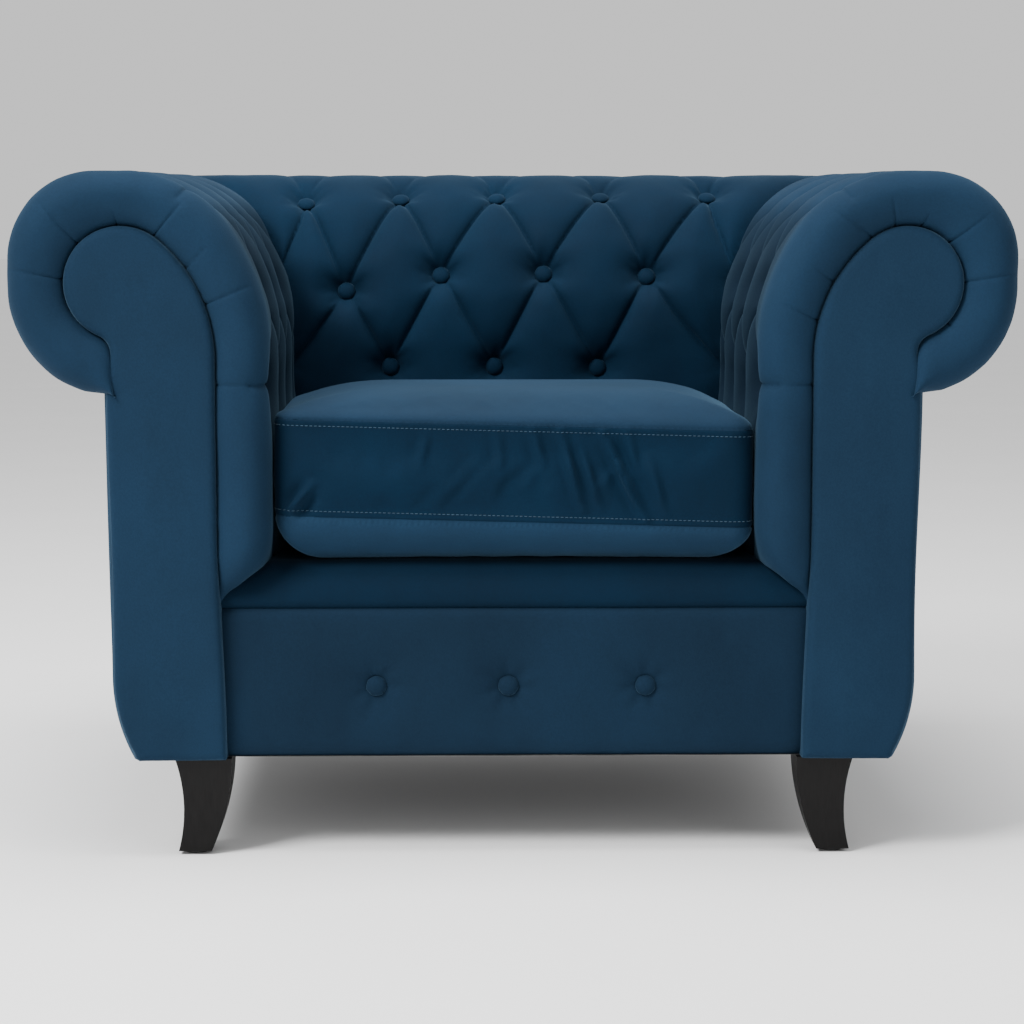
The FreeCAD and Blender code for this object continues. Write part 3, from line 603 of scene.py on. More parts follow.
def wood(name, light, dark, scale=18.0):
    grain = (scale, 5.0, 0.6, (1.0, 9.0, 9.0))
    return plain(name, dark, light, grain, (0.55, 0.75), (0.2, 0.001), stops=(0.35, 0.65))


def metal(name, colour, roughness):
    rough = (roughness * 0.8, roughness * 1.3)
    return plain(name, scaled(colour, 0.8), colour, (400.0, 3.0, 0.6), rough, (0.08, 0.0003), metallic=1.0)


def plastic(name, colour):
    return plain(name, scaled(colour, 0.7), colour, (300.0, 3.0, 0.6), (0.45, 0.65), (0.1, 0.0004))


def foam_material():
    material, tree, shader = nodes_of("foam_cells")
    cells = noise_node(tree, 700.0, 2.0, 0.6)
    stain = ramp(tree, noise_node(tree, 8.0), (0.3, (0.62, 0.55, 0.38)), (0.7, (0.76, 0.71, 0.55)))
    put(shader, Base_Color=stain, Roughness=0.95)
    bump(tree, shader, (cells, 0.6, 0.0012))
    return material


# Lit and shaded copies of the one velvet, which is painted light and shade: the apron, the deck's lip, the
# back and the cushion's border are painted darker, the cushion's bottom panel lighter, and the arms' copy
# paints shade on their inner sides.
VELVET_CLOTH = velvet("velvet_teal")
VELVET_ARMS = velvet("velvet_teal_arms", VELVET_TONE, 1.04, 0.07, painted_shade_attribute=True)
VELVET_APRON = velvet("velvet_teal_apron", VELVET_TONE, 0.74, 0.14)
VELVET_SHADED = velvet("velvet_teal_shaded", VELVET_TONE_IN_SHADE, 0.54, 0.08)
VELVET_BACK = velvet("velvet_teal_back", VELVET_TONE_IN_SHADE, 0.66, 0.12)
VELVET_BORDER = velvet("velvet_teal_border", VELVET_TONE_IN_SHADE, 0.64, 0.06)
VELVET_UNDER = velvet("velvet_teal_under", VELVET_TONE, 1.35, 0.16)
MATERIALS = {
    "velvet": VELVET_CLOTH,
    "foam": foam_material(),
    "hardwood": wood("beech", (0.50, 0.34, 0.20), (0.36, 0.22, 0.12)),
    "plywood": wood("birch_ply", (0.62, 0.47, 0.30), (0.48, 0.34, 0.20), 12.0),
    "fibreboard": wood("fibreboard", (0.40, 0.30, 0.20), (0.30, 0.22, 0.15), 90.0),
    "webbing": cloth("webbing", (0.10, 0.09, 0.08), 500.0),
    "twine": cloth("twine", (0.60, 0.54, 0.42), 1500.0),
    "felt": cloth("felt", (0.35, 0.33, 0.31), 700.0),
    "spring_steel": metal("spring_steel", (0.30, 0.30, 0.31), 0.35),
    "zinc_steel": metal("zinc_steel", (0.62, 0.63, 0.65), 0.3),
    "lacquered_wood": lacquer(),
    "glide_plastic": plastic("glide_plastic", (0.03, 0.03, 0.03)),
    "dust_cloth": cloth("dust_cloth", (0.012, 0.012, 0.013), 700.0),
    "zip_tape": cloth("zip_tape", (0.004, 0.020, 0.038), 1400.0),
    "zip_metal": metal("blackened_zip", (0.06, 0.06, 0.065), 0.35),
}


def dress_cad_nodes():
    for row in frame["record"]["subparts"]:
        node = frame["nodes"][row["node"]]
        node.data.materials.clear()
        node.data.materials.append(MATERIALS[row["material_slot"]])


# ---------------------------------------------------------------- tufted arms and back
PLEAT_DIP, PLEAT_WIDTH = 0.0165, 0.052
FLUTE_DIP, FLUTE_WIDTH = 0.0105, 0.050
MITRE_DIP = 0.0150
KNOT_T = 0.3145
# How much the painted shade darkens the arms' inner sides.
INNER_ARM_SHADE = 0.60


def button_rows(node, side):
    """The rows of a CAD node's buttons, lowest first, each button as (t, place along the run, depth)."""
    found = []
    for c in islands(node):
        place = (c.y + MITRE_SHIFT, c.z) if side == "back" else (abs(c.x), c.z)
        t = PAD.length_at(place)
        u, z = PAD.at(np.array([t]))
        out = PAD.outward(np.array([t]))[0]
        depth = (u[0] - place[0]) * out[0] + (z[0] - place[1]) * out[1]
        found.append((t, c.x if side == "back" else c.y, depth))
    rows = []
    for button in sorted(found):
        if rows and button[0] - rows[-1][0][0] < 0.06:
            rows[-1].append(button)
        else:
            rows.append([button])
    return [sorted(row, key=lambda b: b[1]) for row in rows]


def mitre_line(t):
    """How far along the run the mitre is at t: y on an arm, |x| on the back."""
    return PAD.at(t)[0]


def mitre_dip(t, knot):
    """How deep the corner crease is at t: deeper at the knot, where pleats of both sides run into it."""
    dip = MITRE_DIP + 0.010 * np.exp(-(((t - knot) / 0.028) ** 2))
    return dip * smooth(t, -0.01, 0.05)


def pleats_with(net, dip, width, slack=0.0):
    return [(a, b, dip, width, slack) for a, b in net]


def all_pleats(net, low, top, over):
    """The net's pleats with their depths, the flutes below it and the tucks under the roll.

    Those that cross the crest, from the top row over to the next, are slack midway.
    """
    top_t, over_t = top[0][0], over[0][0]
    crest = [(a, b) for a, b in net if top_t - 0.03 < a[0] < over_t - 0.05 and b[0] > top_t + 0.05]
    rest = [pleat for pleat in net if pleat not in crest]
    flutes = [((-0.01, v), (t, v)) for t, v in low]
    tucks = [((t, v), (T_END + 0.01, v)) for t, v in over]
    return (pleats_with(rest, PLEAT_DIP, PLEAT_WIDTH) + pleats_with(crest, PLEAT_DIP, PLEAT_WIDTH, 0.86)
            + pleats_with(flutes + tucks, FLUTE_DIP, FLUTE_WIDTH))


def build_arm(side):
    sign = 1 if side == "right" else -1
    seed = 3 if side == "right" else 8
    rows = button_rows(f"arm_buttons_{side}", "arm")
    low, mid, top, over = ([b[:2] for b in row] for row in rows)
    corner = lambda t: float(mitre_line(np.array([t]))[0]) - MITRE_SHIFT
    knot = (KNOT_T, corner(KNOT_T))
    net = pleat_net([low, mid + [knot], top, over]) + [(top[-1], knot)]
    pleats = all_pleats(net, low, top, over)
    pleats += pleats_with([(low[0], (low[0][0], CAP_END + 0.060))], 0.0075, 0.040)
    pleats += pleats_with([(top[0], (top[0][0] - 0.004, CAP_END + 0.070))], 0.0035, 0.035)
    buttons = [b for row in rows for b in row]
    creases = [((low[0][0], CAP_END + 0.004), (low[0][0], CAP_END + 0.066), 0.0028, 0.0022)]
    creases += [((t, CAP_END + 0.004), (t + lean, CAP_END + reach), 0.0027, 0.0020)
                for t, reach, lean in FRONT_CREASES[side]]

    toe_v = np.linspace(TOE_START, CAP_END, 40)
    toe_edge = list(zip(toe(toe_v)[2], toe_v))
    edge_t = np.linspace(T_END, 0, 160)
    mitre = [(t, u - MITRE_SHIFT) for t, u in zip(edge_t, mitre_line(edge_t))]
    border = np.array([(0.0, TOE_START + 0.002), *toe_edge, (T_END, CAP_END), *mitre])
    inside = lambda p: CAP_END + 0.0008 <= p[1] <= corner(p[0]) - 0.002 and 0.002 < p[0] < T_END - 0.002
    fine = [b[:2] for b in buttons]
    p, triangles = triangulate(border, trimmed(pleats + creases, inside), fine, seed, hem=True)

    base = arm_surface(p[:, 0], p[:, 1])
    depth = in_chunks(tuft_depth, p, pleats, buttons, seed)
    share, _ = along_arm(p[:, 1])
    depth = depth * np.where(p[:, 1] < CAP_Y, 0.15 + 0.85 * smooth(share, 0.0, 0.30), 1.0)
    near_seam = np.exp(-np.maximum(p[:, 1] - CAP_END - 0.006, 0) / 0.013)
    gathers = wobble(p * (1, 0.12), 0.0065, seed + 2)
    depth = depth + crease_depth(p, creases) + 0.0009 * gathers * near_seam
    gap = mitre_line(p[:, 0]) - MITRE_SHIFT - p[:, 1]
    depth = draw_to_mitre(depth, gap, mitre_dip(p[:, 0], knot[0]))
    points = displace(base, triangles, depth, seed)
    out = PAD.outward(p[:, 0])
    points[:, 1] -= out[:, 0] * depth * (1 - smooth(gap, 0.0, 0.060))
    points[:, 0] *= sign
    faces = triangles if sign < 0 else triangles[:, ::-1]
    name = f"arm_cover_{side}_tufted"
    piece = new_piece(name, points, faces, VELVET_ARMS, replaces=(f"arm_cover_{side}", f"arm_foam_{side}"))
    # Painted shade on the arm's inner side, which faces the seat: the base colour is darkened there.
    to_seat = smooth(-out[:, 0], 0.55, 0.95) * smooth(p[:, 1], CAP_Y - 0.015, CAP_Y + 0.035)
    painted_shade = piece.data.attributes.new("painted_shade", "FLOAT", "POINT")
    painted_shade.data.foreach_set("value", 1 - INNER_ARM_SHADE * to_seat)
    make_buttons(f"arm_buttons_{side}", [(arm_surface, t, v, d, sign) for t, v, d in buttons])


def trimmed(lines, inside):
    """The part of each straight line that lies inside, as its two ends."""
    found = []
    for a, b, *_ in lines:
        p = np.array(a) + (np.array(b) - np.array(a)) * np.linspace(0, 1, 240)[:, None]
        keep = [tuple(q) for q in p if inside(q)]
        if len(keep) > 3:
            found.append([keep[0], keep[-1]])
    return found


def draw_to_mitre(depth, gap, dip):
    """Blends the depth into the corner crease, so that both sides of the mitre meet."""
    near = 1 - smooth(gap, 0.0, 0.010)
    broad = dip * (0.65 * np.clip(1 - gap / 0.050, 0, 1) ** 2 + 0.35 * np.exp(-np.maximum(gap, 0) / 0.006))
    joined = (np.maximum(depth, 0) ** 3 + broad**3) ** (1 / 3)
    return joined * (1 - near) + dip * near


def displace(base, triangles, depth, seed):
    """Draws the surface in by depth, with a little unevenness where nothing holds it."""
    normals = facing_normals(base, triangles)
    middle = base.mean(0)
    if ((base - middle) * normals).sum() < 0:
        normals = -normals
    loose = 0.0011 * wobble(base, 0.075, seed) + 0.0004 * wobble(base, 0.022, seed + 1)
    return base - normals * (depth + loose)[:, None]


# Narrow creases on the front of each roll, from its seam: (t, length, how far they lean up the outline)
FRONT_CREASES = {
    "left": ((0.330, 0.080, -0.008), (0.398, 0.052, -0.004), (0.446, 0.074, 0.004), (0.556, 0.034, -0.004),
             (0.648, 0.078, -0.008), (0.730, 0.092, 0.002)),
    "right": ((0.300, 0.066, 0.004), (0.372, 0.046, -0.006), (0.440, 0.072, -0.010), (0.512, 0.056, 0.0),
              (0.575, 0.034, 0.004), (0.645, 0.066, 0.008), (0.737, 0.090, 0.0), (0.842, 0.024, 0.006)),
}


def build_back():
    rows = button_rows("back_buttons", "back")
    low, mid, top, over = ([b[:2] for b in row] for row in rows)
    corner = lambda t: float(mitre_line(np.array([t]))[0])
    ends = [(low[0][0], 0.004 - corner(low[0][0])), (low[-1][0], corner(low[-1][0]) - 0.004)]
    knots = [(KNOT_T, -corner(KNOT_T)), (KNOT_T, corner(KNOT_T))]
    net = pleat_net([[ends[0], *low, ends[1]], [knots[0], *mid, knots[1]], top, over], reach=0.125)
    pleats = all_pleats(net, low, top, over)
    buttons = [b for row in rows for b in row]
    edge_t = np.linspace(0, T_END, 160)
    right = [(t, u) for t, u in zip(edge_t, mitre_line(edge_t))]
    border = np.array(right + [(t, -u) for t, u in reversed(right)])
    inside = lambda p: abs(p[1]) <= corner(p[0]) - 0.002 and 0.002 < p[0] < T_END - 0.002
    p, triangles = triangulate(border, trimmed(pleats, inside), [b[:2] for b in buttons], 5)

    base = back_surface(p[:, 0], p[:, 1])
    depth = in_chunks(tuft_depth, p, pleats, buttons, 5)
    gap = mitre_line(p[:, 0]) - np.abs(p[:, 1])
    depth = draw_to_mitre(depth, gap, mitre_dip(p[:, 0], KNOT_T))
    points = displace(base, triangles, depth, 5)
    out = PAD.outward(p[:, 0])
    points[:, 0] -= np.sign(p[:, 1]) * out[:, 0] * depth * (1 - smooth(gap, 0.0, 0.060))
    # The back's velvet is a darker copy: painted shade.
    piece = new_piece("back_cover_tufted", points, triangles, VELVET_BACK,
                      replaces=("back_cover", "back_foam"))
    make_buttons("back_buttons", [(back_surface, t, x, d, 1) for t, x, d in buttons])


# ---------------------------------------------------------------- covered buttons
BUTTON_R, BUTTON_H = 0.0118, 0.0068
BUTTON_PROFILE = ((0.22, 0.985), (0.45, 0.92), (0.66, 0.78), (0.82, 0.60), (0.94, 0.38), (1.0, 0.16),
                  (0.985, 0.0), (0.90, -0.12), (0.70, -0.16))


def button_mesh(centre, way, seed):
    """A covered button: a soft dome whose cloth is gathered under its rim."""
    axis = Vector(way).normalized()
    side = axis.orthogonal().normalized()
    other = axis.cross(side)
    rng = np.random.default_rng(seed)
    turns = 28
    tilt = rng.uniform(-0.05, 0.05, 2)
    rings = []
    for share, height in BUTTON_PROFILE:
        ring = []
        for i in range(turns):
            a = 2 * math.pi * i / turns
            pucker = 1 + 0.018 * math.cos(7 * a + seed) * (share > 0.8)
            r = BUTTON_R * share * pucker
            h = BUTTON_H * height + r * (tilt[0] * math.cos(a) + tilt[1] * math.sin(a))
            ring.append(centre + side * (r * math.cos(a)) + other * (r * math.sin(a)) + axis * h)
        rings.append(ring)
    points = [centre + axis * BUTTON_H] + [q for ring in rings for q in ring]
    faces = [(0, 1 + i, 1 + (i + 1) % turns) for i in range(turns)]
    for k in range(len(rings) - 1):
        a, b = 1 + k * turns, 1 + (k + 1) * turns
        faces += [(a + i, b + i, b + (i + 1) % turns, a + (i + 1) % turns) for i in range(turns)]
    last = 1 + (len(rings) - 1) * turns
    faces.append(tuple(last + i for i in reversed(range(turns))))
    return points, faces


def join_meshes(meshes):
    points, faces = [], []
    for p, f in meshes:
        start = len(points)
        points += list(p)
        faces += [tuple(start + i for i in face) for face in f]
    return points, faces


def make_buttons(node, places):
    meshes = []
    for k, (surface, t, v, depth, sign) in enumerate(places):
        at = np.array([t, t + 0.001, t]), np.array([v, v, v + 0.001])
        base = surface(*at)
        along_t, along_v = base[1] - base[0], base[2] - base[0]
        out = np.cross(along_t, along_v)
        out /= np.linalg.norm(out)
        x, y, _ = base[0]
        inward = (0.45, y, 0.66) if surface is arm_surface else (x, 0.30, 0.66)
        if np.dot(base[0] - inward, out) < 0:
            out = -out
        seat = base[0] - out * depth
        seat[0] *= sign
        out[0] *= sign
        meshes.append(button_mesh(Vector(seat), out, k + 1))
    points, faces = join_meshes(meshes)
    # The back's buttons take the back's darker copy of the velvet, which is painted shade.
    material = VELVET_BACK if node == "back_buttons" else VELVET_CLOTH
    new_piece(node + "_covered", points, faces, material, replaces=(node,))


# ---------------------------------------------------------------- flat upholstery
WAIST_FULL = 0.008
FOOT_FULL = 0.0045
FOOT_FLARE = 0.008
FOOT_TURN = 0.008


def waist(z):
    """How much fuller the padded outside is than the frame, most under the roll."""
    full = FOOT_FULL + (WAIST_FULL - FOOT_FULL) * smooth(z, 0.30, 0.52)
    return full * (1 - smooth(z, 0.545, 0.60))


def facing_outline(grow):
    """The arm front's outline, from its lower inner corner up and round, in (u, z)."""
    foot = BASE_Z - 0.0008
    turn = foot + FOOT_TURN
    outline = Outline([
        *core_runs(foot, BELLY[1]),
        ("arc", BELLY, BELLY_R, 0.0, math.asin((turn - BELLY[1]) / BELLY_R), 1),
        ("arc", (belly_x(0.0, turn) - FOOT_TURN, turn), FOOT_TURN, 0.0, -math.pi / 2, 1),
    ])
    t = np.linspace(0, outline.length, int(outline.length / 0.0032))
    p = np.stack(outline.at(t), axis=1) + grow * outline.outward(t)
    outer = p[:, 0] > 0.40
    p[:, 0] += np.where(outer & (outline.outward(t)[:, 0] > -0.9), waist(p[:, 1]), 0.0)
    p[:, 0] -= np.where(outer, 0.0, FOOT_FLARE * (1 - smooth(p[:, 1], BASE_Z, 0.40)))
    return p


def build_facing(side):
    """The padded panel on the arm's front, its edge tucked in beside the roll."""
    sign = 1 if side == "right" else -1
    seed = 12 if side == "right" else 17
    border, shoulder = facing_outline(0.0018), facing_outline(0.0011)
    shoulder[0, 1] = shoulder[-1, 1] = border[0, 1] + 0.0007
    line = np.concatenate([shoulder, shoulder[:1]])
    p, triangles = triangulate(border, [line], [], seed, steps=(0.007, 0.0042, 0.0022), bands=(0.014, 0.008))
    edge = loop_distance(p, border)
    x = np.clip((edge - 0.0007) / 0.010, 0, 1)
    drop = np.where(edge < 0.0004, FACING_SKIRT - FACING_Y, 0.0064 * (1 - np.sqrt(1 - (1 - x) ** 2)))
    crown = 0.0020 * np.clip(edge / 0.05, 0, 1) ** 0.7
    y = FACING_Y + drop - crown + 0.0006 * wobble(p, 0.09, seed)
    points = np.stack([sign * p[:, 0], y, p[:, 1]], axis=1)
    faces = triangles if sign < 0 else triangles[:, ::-1]
    piece = new_piece(f"arm_facing_{side}", points, faces, VELVET_CLOTH, replaces=(f"facing_cover_{side}",))


def belly_x(out, z):
    return BELLY[0] + np.sqrt((BELLY_R + out) ** 2 - (z - BELLY[1]) ** 2)


OUTSIDE_GAP = 0.006


def build_outside(side):
    """The smooth outside covers: down from under the roll, then curved in to the base."""
    on_back = side == "back"
    columns = 121
    front, top = FACING_Y + 0.008, TACK[1] + 0.012
    z = np.concatenate([np.linspace(top, BELLY[1], 46), np.linspace(BELLY[1], BASE_Z, 22)[1:]])
    below = belly_x(OUTSIDE_GAP, np.minimum(z, BELLY[1]))
    u = (np.where(z > BELLY[1], CORE_OUTER + OUTSIDE_GAP, below) + waist(z))[:, None]
    start, end = (-u, u) if on_back else (np.full_like(u, front), u - MITRE_SHIFT)
    v = start + (end - start) * np.arange(columns) / (columns - 1)
    edge = np.minimum(end - v, v - start) if on_back else end - v
    dip = 0.0035 * np.exp(-edge / 0.006)
    if not on_back:
        dip += 0.0045 * np.exp(-(v - start) / 0.004)
    height = np.repeat(z[:, None], columns, axis=1)
    layers = (v, u - dip - MITRE_SHIFT, height) if on_back else (u - dip, v, height)
    points = np.stack(layers, axis=2).reshape(-1, 3)
    puff = wobble(points, 0.16, 21 if on_back else 23 + (side == "left"))
    points[:, 1 if on_back else 0] += 0.0016 * puff - 0.0010
    if side == "left":
        points[:, 0] *= -1
    faces = grid_faces(len(z), columns, flip=side != "left")
    node = "outside_back_cover" if on_back else f"outside_arm_cover_{side}"
    piece = new_piece(node + "_cloth", points, faces, VELVET_CLOTH, replaces=(node,))
    height = top - BELLY[1] + BELLY_R * math.asin((BELLY[1] - BASE_Z) / BELLY_R)


APRON_DIMPLE = 0.0120


def build_apron():
    buttons = islands("apron_buttons")
    left, right = APRON_LOW.x, APRON_HIGH.x
    border = np.array([(left, BASE_Z), (right, BASE_Z), (right, SEAM_Z), (left, SEAM_Z)])
    p, triangles = triangulate(border, [], [(b.x, b.z) for b in buttons], 31,
                               steps=(0.0075, 0.005, 0.0024), bands=(0.060, 0.024))
    top = SEAM_Z - p[:, 1]
    bottom = p[:, 1] - BASE_Z
    ends = right - np.abs(p[:, 0])
    y = np.full(len(p), APRON_Y - 0.0015)
    y += 0.0075 * np.exp(-top / 0.0030) + 0.009 * np.exp(-bottom / 0.006) + 0.003 * np.exp(-ends / 0.005)
    for k, b in enumerate(buttons):
        dx, dz = p[:, 0] - b.x, p[:, 1] - b.z
        r = np.hypot(dx, dz)
        angle = np.arctan2(dz, dx)
        near, wide = np.exp(-((np.maximum(r - 0.009, 0) / 0.016) ** 1.15)), np.exp(-((r / 0.050) ** 2))
        dimple = APRON_DIMPLE * (0.62 * near + 0.38 * wide)
        folds = 0.0008 * np.exp(-(((r - 0.024) / 0.011) ** 2)) * np.cos(7 * angle + k)
        y += dimple + folds
    y += 0.0010 * wobble(p, 0.12, 31)
    points = np.stack([p[:, 0], y, p[:, 1]], axis=1)
    # The apron and its buttons take a darker copy of the velvet: painted shade.
    piece = new_piece("apron_cover_padded", points, triangles[:, ::-1], VELVET_APRON,
                      replaces=("apron_cover", "apron_foam"))
    meshes = []
    for k, b in enumerate(buttons):
        seat = Vector((b.x, APRON_Y + APRON_DIMPLE - 0.0030, b.z))
        meshes.append(button_mesh(seat, (0, -1, 0), 60 + k))
    new_piece("apron_buttons_covered", *join_meshes(meshes), VELVET_APRON, replaces=("apron_buttons",))


def build_deck():
    """The deck's cover with its rounded, padded lip, sewn to the apron along the seam."""
    half, rear = DECK_HIGH.x, DECK_HIGH.y
    turn = np.linspace(math.pi / 2, 0, 22)
    front = [(LIP_Y - LIP_R * math.sin(a), DECK_Z - LIP_R + LIP_R * math.cos(a)) for a in turn]
    section = [(APRON_Y + 0.006, SEAM_Z - 0.003), *front]
    section += [(LIP_Y + (rear - LIP_Y) * s, DECK_Z) for s in np.linspace(0, 1, 60)[1:]]
    columns = 151
    points = np.array([(x, y, z) for y, z in section for x in np.linspace(-half, half, columns)])
    seam = np.exp(-np.maximum(points[:, 2] - SEAM_Z, 0) / 0.0035) * (points[:, 1] < LIP_Y)
    points[:, 1] += 0.0060 * seam
    points[:, 2] += 0.0012 * wobble(points, 0.10, 41) * smooth(points[:, 2], SEAM_Z + 0.005, DECK_Z) - 0.0010
    faces = grid_faces(len(section), columns)
    piece = new_piece("deck_cover_lipped", points, faces, VELVET_SHADED,
                      replaces=("deck_cover", "lip_foam", "deck_foam"))


def build_dust_cover():
    low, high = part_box("dust_cover")
    across, back = np.meshgrid(np.linspace(0, 1, 61), np.linspace(0, 1, 49))
    sag = 0.0012 * np.sin(math.pi * across) * np.sin(math.pi * back)
    layers = (low.x + (high.x - low.x) * across, low.y + (high.y - low.y) * back, low.z + 0.0005 - sag)
    points = np.stack(layers, axis=2).reshape(-1, 3)
    points[:, 2] -= 0.0004 * wobble(points, 0.07, 51)
    faces = grid_faces(49, 61, flip=True)
    piece = new_piece("dust_cover_cloth", points, faces, MATERIALS["dust_cloth"], slot="dust_cloth",
                      replaces=("dust_cover",))


# ---------------------------------------------------------------- seat cushion
CUSHION_LOW, CUSHION_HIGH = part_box("cushion_cover")
TOP_SEAM, LOW_SEAM = 0.497, 0.386
SEAM_FALL = 0.0075
CROWN_Z = 0.5290
CUSHION_HALF = CUSHION_HIGH.x + 0.0015
FLOOR_Z = CUSHION_LOW.z + 0.0008
EDGE_STEP = 0.0066
SEAM_ROWS = (0.0, 0.0022, 0.0050, 0.0095)


def seam_z(x, top):
    """The height of the cushion's seams, which run a little downhill to the right."""
    return (TOP_SEAM if top else LOW_SEAM) - SEAM_FALL * x / CUSHION_HIGH.x


def cushion_plan(inset=0.0, radius=0.026):
    """The cushion's outline seen from above: points at equal steps, and their outward directions."""
    half = CUSHION_HALF
    y0, y1 = CUSHION_LOW.y + 0.0045, CUSHION_HIGH.y - 0.0030
    corners = ((half, y0, -90), (half, y1, 0), (-half, y1, 90), (-half, y0, 180))
    points, ways = [], []
    for cx, cy, start in corners:
        cx, cy = cx - math.copysign(radius, cx), cy + (radius if cy < 0 else -radius)
        for a in np.radians(np.linspace(start, start + 90, 9)):
            points.append((cx + radius * math.cos(a), cy + radius * math.sin(a)))
            ways.append((math.cos(a), math.sin(a)))
    points, ways = np.array(points + points[:1]), np.array(ways + ways[:1])
    s = np.concatenate([[0], np.cumsum(np.linalg.norm(np.diff(points, axis=0), axis=1))])
    t = np.linspace(0, s[-1], int(s[-1] / EDGE_STEP), endpoint=False)
    p, w = (np.stack([np.interp(t, s, q[:, i]) for i in range(2)], axis=1) for q in (points, ways))
    return p - w * inset, w


def panel(seed):
    """Points and triangles of a flat panel whose first points are the plan's own."""
    loop = cushion_plan()[0]
    n = len(loop)
    grid = hex_grid(loop.min(0), loop.max(0), 0.0074, seed)
    grid = grid[in_chunks(within, grid, cushion_plan(0.0135)[0], size=8000)]
    points = np.concatenate([loop] + [cushion_plan(inset)[0] for inset in SEAM_ROWS[1:]] + [grid])
    edges = [(i, (i + 1) % n) for i in range(n)]
    out = delaunay_2d_cdt([Vector(q) for q in points], edges, [], 1, 1e-7, False)
    p, triangles = np.array([tuple(v) for v in out[0]]), np.array(out[2])
    return p, triangles[in_chunks(within, p[triangles].mean(1), loop, size=8000)]


def crown_z(y):
    """How high the middle of the cushion stands: it falls towards the rear."""
    return CROWN_Z - 0.018 * smooth(y, -0.14, 0.11)


def rear_fall(y):
    """How much the cushion's top sinks towards the rear, seam and all."""
    return 0.014 * smooth(y, -0.16, 0.11)


def edge_distance(p):
    return loop_distance(p, cushion_plan()[0])


def cushion_start():
    """The sewn cushion before filling swells it: a crowned top panel, a border and a rounded bottom panel."""
    flat, triangles = panel(71)
    n = len(cushion_plan()[0])
    e = edge_distance(flat)
    top_seam, low_seam = seam_z(flat[:, 0], True), seam_z(flat[:, 0], False)
    rim = np.sqrt(1 - (1 - np.clip(e / 0.013, 0, 1)) ** 2)
    dome = 0.24 * rim + 0.76 * (1 - (1 - np.clip(e / 0.130, 0, 1)) ** 2.1)
    top = np.c_[flat, top_seam + (crown_z(flat[:, 1]) - top_seam) * dome]
    bowl = np.sqrt(1 - (1 - np.clip(e / 0.058, 0, 1)) ** 2)
    bottom = np.c_[flat, low_seam - (low_seam - FLOOR_Z - 0.001) * bowl]
    inner = np.linspace(SEAM_ROWS[-1], TOP_SEAM - LOW_SEAM - SEAM_ROWS[-1], 14)
    falls = [*SEAM_ROWS[1:-1], *inner, *(TOP_SEAM - LOW_SEAM - r for r in SEAM_ROWS[-2:0:-1])]
    rows = [np.c_[flat[:n], top_seam[:n] - fall] for fall in falls]
    points = np.concatenate([top, bottom, *rows])
    faces = [tuple(f) for f in triangles] + [tuple(f[::-1] + len(flat)) for f in triangles]
    starts = [0, *(2 * len(flat) + k * n for k in range(len(rows))), len(flat)]
    for upper, lower in zip(starts[:-1], starts[1:]):
        for i in range(n):
            k = (i + 1) % n
            faces.append((upper + k, upper + i, lower + i, lower + k))
    seams = [(start + i, start + (i + 1) % n) for start in (0, len(flat)) for i in range(n)]
    return points, faces, seams


def read_rows(items, name):
    """A three-part value of every vertex or face, as rows."""
    values = np.zeros(len(items) * 3)
    items.foreach_get(name, values)
    return values.reshape(-1, 3)


def simulate(obj):
    """Swells the cover as cloth under pressure, with no gravity."""
    settings = obj.modifiers.new("cloth", "CLOTH").settings
    settings.quality = 5
    settings.mass = 0.3
    settings.tension_stiffness = settings.compression_stiffness = 15
    settings.bending_stiffness = 0.6
    settings.use_pressure = True
    settings.uniform_pressure_force = 4.0
    settings.effector_weights.gravity = 0.0
    for time in range(1, 21):
        bpy.context.scene.frame_set(time)
    bpy.context.view_layer.update()
    dg = bpy.context.evaluated_depsgraph_get()
    swollen = read_rows(obj.evaluated_get(dg).to_mesh().vertices, "co")
    obj.modifiers.clear()
    return swollen


# Slack folds in the border's front: (x, z) of both ends and how strong
FOLDS = (
    (0.020, 0.492, 0.036, 0.440, 0.9), (0.052, 0.490, 0.078, 0.400, 1.4), (0.072, 0.478, 0.098, 0.400, 0.9),
    (0.100, 0.488, 0.150, 0.388, 1.8), (0.152, 0.460, 0.172, 0.395, 0.8), (0.128, 0.490, 0.140, 0.440, 0.7),
    (-0.020, 0.490, -0.014, 0.440, 0.5), (-0.100, 0.488, -0.108, 0.450, 0.5),
    (-0.256, 0.394, -0.228, 0.430, 1.8),
)
SWELL_BORDER, SWELL_PANEL = 0.0060, 0.0030
FRONT_SPREAD = 0.0080


